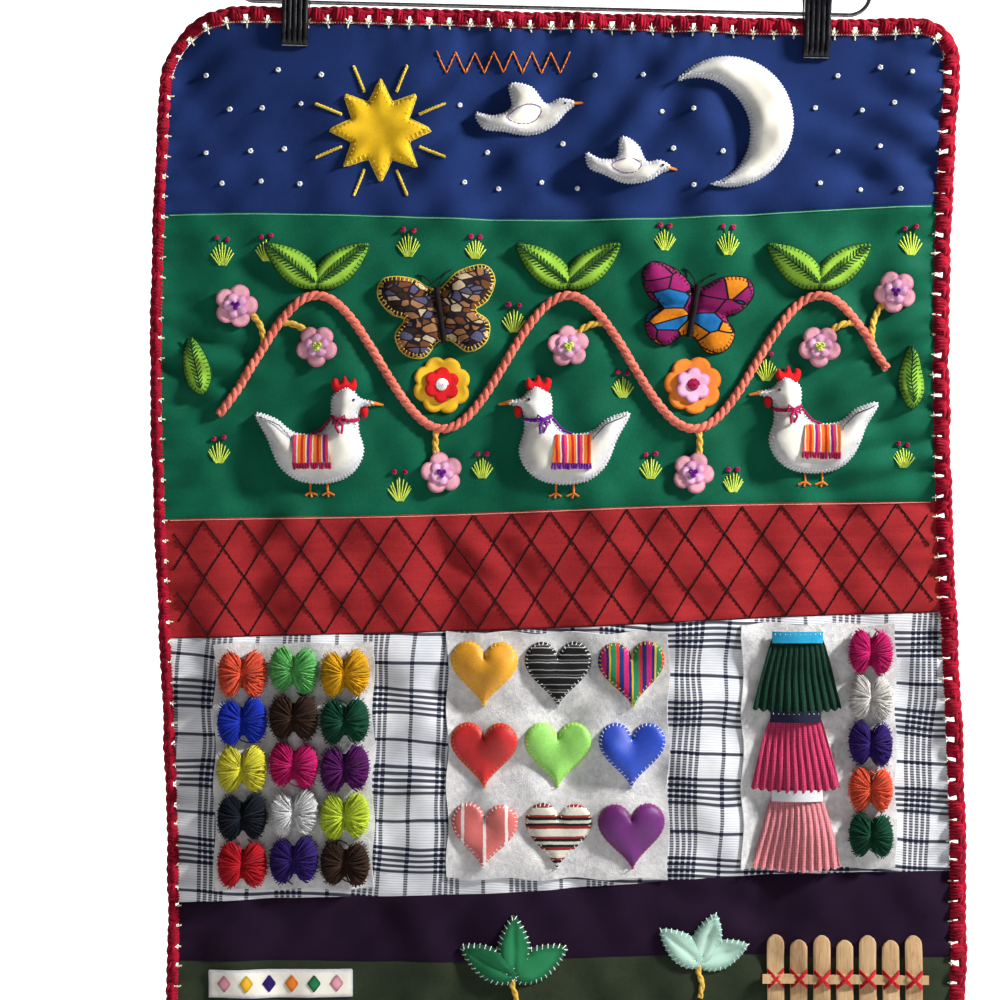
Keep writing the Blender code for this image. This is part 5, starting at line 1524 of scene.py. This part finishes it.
def makeHearts():
    plain = (
        ("amber satin", (0.52, 0.20, 0.004), (0.90, 0.42, 0.02)),
        ("scarlet satin", (0.30, 0.004, 0.006), (0.66, 0.014, 0.016)),
        ("lime satin", (0.14, 0.42, 0.06), (0.36, 0.76, 0.16)),
        ("royal satin", (0.004, 0.024, 0.26), (0.012, 0.070, 0.56)),
        ("plum satin", (0.06, 0.004, 0.08), (0.17, 0.012, 0.20)),
    )
    for name, dark, light in plain:
        finishes[name] = clothFinish(name.replace(" ", "_"), dark, light, 0.45, 12.0, rough=0.48,
                                     sheen=0.25, depth=0.06)
    black, pale = (0.012, 0.012, 0.014), (0.42, 0.42, 0.40)
    cream, rose, navy = (0.70, 0.68, 0.58), (0.66, 0.14, 0.13), (0.01, 0.03, 0.16)
    woven = (
        # finish, where each stripe begins and its colour, period, direction, more
        ("night stripes", ((0.0, black), (0.35, pale), (0.42, black), (0.52, (0.15, 0.15, 0.15)),
                           (0.60, black),
                           (0.86, pale), (0.92, black), (1.0, black)), 8.4, "Z", {}),
        ("blanket stripes", ((0.0, cream), (0.2, (0.30, 0.02, 0.03)), (0.34, black),
                             (0.46, (0.62, 0.60, 0.50)),
                             (0.6, black), (0.74, (0.34, 0.03, 0.03)), (0.84, cream), (1.0, cream)), 12.0,
                             "Z", {}),
        ("coral stripes", ((0.0, rose), (0.72, (0.86, 0.80, 0.76)), (0.86, rose), (1.0, rose)), 12.5, "X",
         {"rough": 0.5, "satin": 0.25}),
        ("woven bands", ((0.0, (0.55, 0.02, 0.16)), (0.22, navy), (0.34, (0.75, 0.45, 0.03)),
                         (0.42, (0.02, 0.22, 0.10)), (0.66, (0.60, 0.03, 0.03)), (0.80, navy), (1.0, navy)),
         13.0, "X", {}),
    )
    for name, stripes, period, direction, more in woven:
        finishes[name] = stripedFinish(name.replace(" ", "_"), stripes, period, direction, **more)
    place = {"u": 179.0, "v": 370.0, "across": 42.0, "down": 46.0, "size": 38.0}
    order = ("amber satin", "night stripes", "woven bands", "scarlet satin", "lime satin", "royal satin",
             "coral stripes", "blanket stripes", "plum satin")
    edges = ("yellow thread", "white thread", "yellow thread", "orange thread", "lime thread",
             "white thread",
             "white thread", "white thread", "berry thread")
    for k in range(9):
        u, v = place["u"] + place["across"] * (k % 3), place["v"] + place["down"] * (k // 3)
        form = paddedForm(0.7, 3.5, 10.0, onFelt, lump=0.25)
        draw = random.Random(60 + k)
        ring = placed(heart(place["size"], place["size"]), u, v, draw.uniform(-3, 3))
        parts = [stuffed("front", ring, form, order[k]),
                 thread("edge", whipStitches(ring, form, 2.6, 0.3, 1.5, seed=k), 0.26, edges[k], 0)]
        settle(joinPieces(f"heart_{k + 1}_sewn", parts), "orange", f"heart_{k + 1}")
    print("hearts")


fanLook = {"width": 50.0, "height": 42.0, "top": 0.52, "pleats": 11}
fanTable = (("fan_1", 357.0, 347.0, "bottle velvet", "sky band"),
            ("fan_2", 356.0, 392.0, "wine knit", "navy band"),
            ("fan_3", 357.0, 437.0, "rose knit", "white band"))


def knitFinish(name, dark, light, pitch, rough=0.95):
    made, tree, shader = startMaterial(name, rough, 0.5)
    place = objectPlace(tree)
    loops = math2(tree, "MULTIPLY", bands(tree, place, pitch, "X"), bands(tree, place, pitch * 0.7, "Z"))
    fuzz = noise(tree, place, 1.3, 5.0, 0.75)
    # The tone is partly painted shade, darker in the hollows between loops, and partly random fuzz
    tone = mixed(tree, loops, 0.35, fuzz, 0.65)
    paint(tree, shader, tone, ((0.25, dark), (0.62, light)))
    addBump(tree, shader, tone, 0.7, 0.8)
    return made


def makeFans():
    finishes["rose knit"] = knitFinish("rose_knit", (0.40, 0.11, 0.14), (0.80, 0.32, 0.35), 1.3)
    finishes["bottle velvet"] = knitFinish("bottle_velvet", (0.001, 0.010, 0.006), (0.008, 0.060, 0.034),
                                           1.0)
    finishes["wine knit"] = knitFinish("wine_knit", (0.28, 0.015, 0.06), (0.62, 0.06, 0.16), 1.4)
    finishes["navy band"] = clothFinish("navy_band", (0.006, 0.006, 0.022), (0.022, 0.022, 0.060), 0.5, 8.0)
    finishes["white band"] = clothFinish("white_band", (0.48, 0.48, 0.54), (0.74, 0.74, 0.78), 0.5, 8.0)
    finishes["sky band"] = clothFinish("sky_band", (0.01, 0.20, 0.40), (0.03, 0.38, 0.62), 0.5, 8.0)
    look = fanLook
    for name, u, v, finish, band in fanTable:
        draw = random.Random(name)
        wobble = [draw.uniform(-0.3, 0.3) for k in range(4)]

        def shape(s, t):
            fall = 1 - t
            share = s - 0.5
            spread = look["top"] + (1 - look["top"]) * fall ** 0.75
            x = u - halfWidth + share * look["width"] * spread + wobble[0] * np.sin(fall * 5) * fall
            along = 2 * np.pi * look["pleats"] * s
            droop = look["height"] + 2.2 * np.cos(np.pi * share) + 0.8 * np.sin(along)
            z = down(v) - fall * droop
            pleat = 0.5 + 0.5 * np.sin(along + 1.2 * np.sin(fall * 3 + wobble[1] * 9))
            swell = 0.9 + 1.0 * np.sin(np.pi * np.clip(s, 0, 1)) * smooth(fall * 3)
            return x, z, surfaceAt(x, z) + onFelt + 0.5 + swell + (0.5 + 1.5 * fall) * pleat ** 0.8
        skirt = gridPiece(name + "_pleats", 110, 30, shape, finish, 0.9)
        settle(skirt, "pink", name)
        topWidth = look["width"] * look["top"] + 2.5

        def bandShape(s, t):
            x = u - halfWidth + (s - 0.5) * topWidth
            z = down(v) - 4.6 + 6.4 * t
            return x, z, surfaceAt(x, z) + onFelt + 3.9 - 1.2 * (2 * s - 1) ** 4
        piece = gridPiece(name + "_band", 18, 5, bandShape, band, 1.0)
        settle(piece, "pink")
        lines = [[(u - halfWidth + (k / 9 - 0.5) * topWidth * 0.9, down(v) + 1.9, onFelt + 2.0),
                  (u - halfWidth + (k / 9 - 0.5) * topWidth * 0.9, down(v) + 0.2,
                   onFelt + 4.6)] for k in range(10)]
        settle(thread(name + "_band_stitches", lines, 0.24, "white thread", 0), "pink")
    print("pleated pieces")


# Ground

raftLook = {"u": 386.0, "v": 543.0, "sticks": 7, "stick": 9.6, "space": 3.4, "height": 44.0, "thick": 2.0,
            "rail": 5.0, "low": 0.5, "high": 0.56}
stripLook = {"fromU": 22.0, "toU": 104.0, "fromV": 538.0, "toV": 554.0}
sprigTable = (("leaf_sprig_left", 196.0, 541.0, (-62.0, 0.0, 62.0), 37.0, 19.0, "leaf felt", "leaf"),
              ("leaf_sprig_right", 302.0, 534.0, (-70.0, -18.0, 50.0), 32.0, 17.0, "mint felt", "mint"))


def stickBar(u0, u1, v0, v1, back, thick, roundTop=True):
    # A craft stick: a bar with its end rounded and its edges eased
    width, tall = u1 - u0, v1 - v0
    bar, co = dividedCube(15)
    centre = (u0 + u1) / 2 - halfWidth
    x = centre + co[:, 0] * width
    if roundTop:
        co[:, 2] = np.sin(np.pi * co[:, 2]) / 2
    z = down((v0 + v1) / 2) + co[:, 2] * tall
    if roundTop:
        for sign in (1, -1):
            end = np.clip((sign * co[:, 2] * tall - (tall / 2 - width / 2)) / (width / 2), 0, 1)
            x = centre + (x - centre) * np.sqrt(np.maximum(1 - end ** 2, 0.05))
    eased = 1 - 0.30 * (np.abs(co[:, 0]) * 2) ** 8
    forward = back + thick / 2 + co[:, 1] * -thick * eased
    middle = surfaceAt(centre, down((v0 + v1) / 2))
    lean = surfaceAt(x, z)
    y = -(forward + 0.25 * middle + 0.75 * lean)
    return reshaped(bar, np.stack([x, y, z], 1), "wood", 45)


def makeGround():
    look = raftLook
    span = look["sticks"] * (look["stick"] + look["space"])
    u0 = look["u"] - span / 2
    bars = [stickBar(u0 - 3, u0 + span, look["v"] - look["rail"] / 2, look["v"] + look["rail"] / 2,
                     onCloth + look["thick"], look["thick"], False)]
    ties = []
    for k in range(look["sticks"]):
        left = u0 + k * (look["stick"] + look["space"])
        tall = look["height"] * look["low" if k % 2 else "high"]
        bars.append(stickBar(left, left + look["stick"], look["v"] - tall, look["v"] + look["height"] * 0.5,
                             onCloth, look["thick"]))
        x, z = left + look["stick"] / 2 - halfWidth, down(look["v"])
        for sign in (-1, 1):
            for shift in (-0.8, 0.0, 0.8):
                ties.append([(x - 4.6 * sign, z - 4.4 + shift, onCloth + 2.2),
                             (x - 2.4 * sign, z - 2.4 + shift, onCloth + 4.3),
                             (x + 2.4 * sign, z + 2.4 + shift, onCloth + 4.5),
                             (x + 4.6 * sign, z + 4.4 + shift, onCloth + 2.2)])
    settle(joinPieces("stick_raft_wood", bars), "wood", "stick_raft")
    finishes["tie thread"] = yarnFinish("red_tie_thread", (0.30, 0.005, 0.012), (0.66, 0.015, 0.03),
                                        strand=0.5)
    settle(thread("raft_ties", ties, 0.42, "tie thread", 0), "crimson")
    edge = []
    for name, u, v, turns, length, width, finish, slotName in sprigTable:
        blades = []
        for k, turn in enumerate(turns):
            form = paddedForm(0.9 + 0.3 * k, 2.2, 6.0, lump=0.35,
                              valleys=[([placed([(0, 2), (0, length * 0.9)], u, v, turn)], 1.1, 1.3)])
            ring = placed(leafShape(length, width), u, v, turn)
            blades.append(stuffed("blade", ring, form, finish))
            edge += whipStitches(ring, form, 3.2, 0.5, 1.6, seed=k)
        stem = cordLine(placed([(0, 3), (-1, -5), (1.5, -12), (0, -20)], u, v), 1.7, "stem", "mustard cord")
        piece = settle(joinPieces(name + "_felt", blades), slotName, name)
        stem.name = name + "_stem"
        settle(stem, "coral")
    settle(thread("sprig_stitches", edge, 0.28, "white thread", 0), "white")
    form = paddedForm(0.7, 0.6, 3.0, lump=0.1)
    s = stripLook
    corners = [(s["fromU"], s["toV"]), (s["toU"], s["toV"]), (s["toU"], s["fromV"]),
               (s["fromU"], s["fromV"])]
    ring = np.array([(u - halfWidth, down(v)) for u, v in corners])
    settle(stuffed("patterned_strip_felt", evenly(ring, 2), form, "white felt"), "white",
                     "patterned_strip")
    diamonds = []
    for k, finish in enumerate(("pink felt", "mustard felt", "hank indigo", "orange felt", "leaf felt",
                                "pink felt")):
        at = placed([(-4, 0), (0, -5.2), (4, 0), (0, 5.2)], s["fromU"] + 9 + 12.8 * k,
                    (s["fromV"] + s["toV"]) / 2)
        diamonds.append(stuffed("diamond", at, paddedForm(0.4, 0.4, 2.0, onCloth + 1.2, lump=0.05), finish))
    settle(joinPieces("strip_diamonds", diamonds), "pink")
    print("ground")


# Hanger

hangerLook = {"tilt": 1.35, "drop": 95.0, "wire": 2.4, "half": 181.0, "loop": 24.0, "hookWire": 3.2,
              "hookRadius": 20.0}
jawTable = ((-25.5, 1.15, 3.2), (-23.0, 1.5, 4.4), (-17.0, 3.2, 6.0), (-4.0, 3.9, 6.6), (0.0, 2.0, 6.8),
            (4.0, 3.2, 7.2),
            (17.0, 8.5, 10.8))
clipLook = {"left": -146.0, "right": 151.0, "width": 15.5, "ribs": 5, "rib": 0.7, "foot": -25.5,
            "top": 17.0}


def tilted(points):
    a = math.radians(hangerLook["tilt"])
    p = np.asarray(points, float)
    return np.stack([p[:, 0] * math.cos(a) + p[:, 2] * math.sin(a), p[:, 1],
                     p[:, 2] * math.cos(a) - p[:, 0] * math.sin(a)], 1)


def makeHanger():
    look = hangerLook
    radius = look["loop"] / 2
    points = []
    for sign in (1, -1):
        straight = look["half"] - radius
        for a in np.radians(np.linspace(-90, 90, 25)):
            points.append((sign * (straight + radius * math.cos(a)), 0.0,
                           -look["drop"] + radius + sign * radius * math.sin(a)))
    settle(thread("hanger_loop_wire", [tilted(points)], look["wire"] / 2, "steel", 3, closed=True,
                  onSurface=False), "steel", "hanger_loop")
    ring = look["hookRadius"] + look["hookWire"] / 2
    middle = -look["hookRadius"]
    start = middle - ring - 16.0
    first = (ring * math.cos(math.radians(222)), middle + ring * math.sin(math.radians(222)))
    line = [(0.0, 0.0, z) for z in np.linspace(-68.0, start, 6)]
    for t in np.linspace(0, 1, 14)[1:-1]:
        line.append((first[0] * float(smooth(t)), 0.0, start + (first[1] - start) * t))
    for a in np.radians(np.linspace(222, -35, 60)):
        line.append((ring * math.cos(a), 0.0, middle + ring * math.sin(a)))
    wire = thread("hook", [tilted(line)], look["hookWire"] / 2, "steel", 4, onSurface=False)
    bpy.ops.object.select_all(action="DESELECT")
    bpy.ops.mesh.primitive_cylinder_add(vertices=40, radius=1.0, depth=1.0, location=(0, 0, 0))
    ferrule = bpy.context.object
    bpy.ops.object.mode_set(mode="EDIT")
    bpy.ops.mesh.select_all(action="SELECT")
    bpy.ops.mesh.bevel(offset=0.12, segments=3)
    bpy.ops.object.mode_set(mode="OBJECT")
    co = np.array([c.co[:] for c in ferrule.data.vertices])
    squared = np.sign(co[:, :2]) * np.abs(co[:, :2]) ** 0.6
    at = np.stack([squared[:, 0] * 7.2, squared[:, 1] * 3.2, -71.0 + co[:, 2] * 8.0], 1)
    reshaped(ferrule, tilted(at), "steel", 40)
    settle(joinPieces("hanger_hook_wire", [wire, ferrule]), "steel", "hanger_hook")
    table = np.array(jawTable)
    for side in ("left", "right"):
        for where, sign in (("front", -1), ("back", 1)):
            jaw, co = dividedCube(39)
            height = clipLook["foot"] + (co[:, 2] + 0.5) * (clipLook["top"] - clipLook["foot"])
            inner = np.interp(height, table[:, 0], table[:, 1])
            outer = np.interp(height, table[:, 0], table[:, 2])
            across = co[:, 0] * clipLook["width"]
            rib = np.abs(np.sin(np.pi * clipLook["ribs"] * (co[:, 0] + 0.5))) ** 0.6
            inset = smooth((height - clipLook["foot"]) / 4) * smooth((clipLook["top"] - height) / 3)
            outer = outer - clipLook["rib"] + (clipLook["rib"] * 2 * rib * inset if sign < 0 else 0)
            lipShare = co[:, 1] + 0.5 if sign > 0 else 0.5 - co[:, 1]
            y = sign * (inner + (outer - inner) * lipShare)
            rounding = 1 - 0.035 * (np.abs(co[:, 2]) * 2) ** 14 - 0.02 * lipShare
            p = np.stack([clipLook[side] + across * rounding, y, height - hangerLook["drop"]], 1)
            reshaped(jaw, tilted(p), "plastic", 50)
            name = f"clip_{side}_{where}"
            jaw.name = name + "_jaw"
            settle(jaw, "plastic", name)
        half = clipLook["width"] / 2 - 0.6
        lip = [(clipLook[side] + s * half, -3.05 - 0.1 * (1 - s * s),
                -25.1 - hangerLook["drop"]) for s in np.linspace(-1, 1, 9)]
        settle(thread(f"clip_{side}_lip", [tilted(lip)], 0.5, "steel", 1, onSurface=False), "steel")
    print("hanger")


makeCameraAndLights()
makeFinishes()
makeBands()
makeLattice()
makeCrochet()
makeSky()
makeVine()
makeTallFlowers()
makeLeaves()
makeHens()
makeButterflies()
makeTufts()
makeFeltPanels()
makeHanks()
makeHearts()
makeFans()
makeGround()
makeHanger()
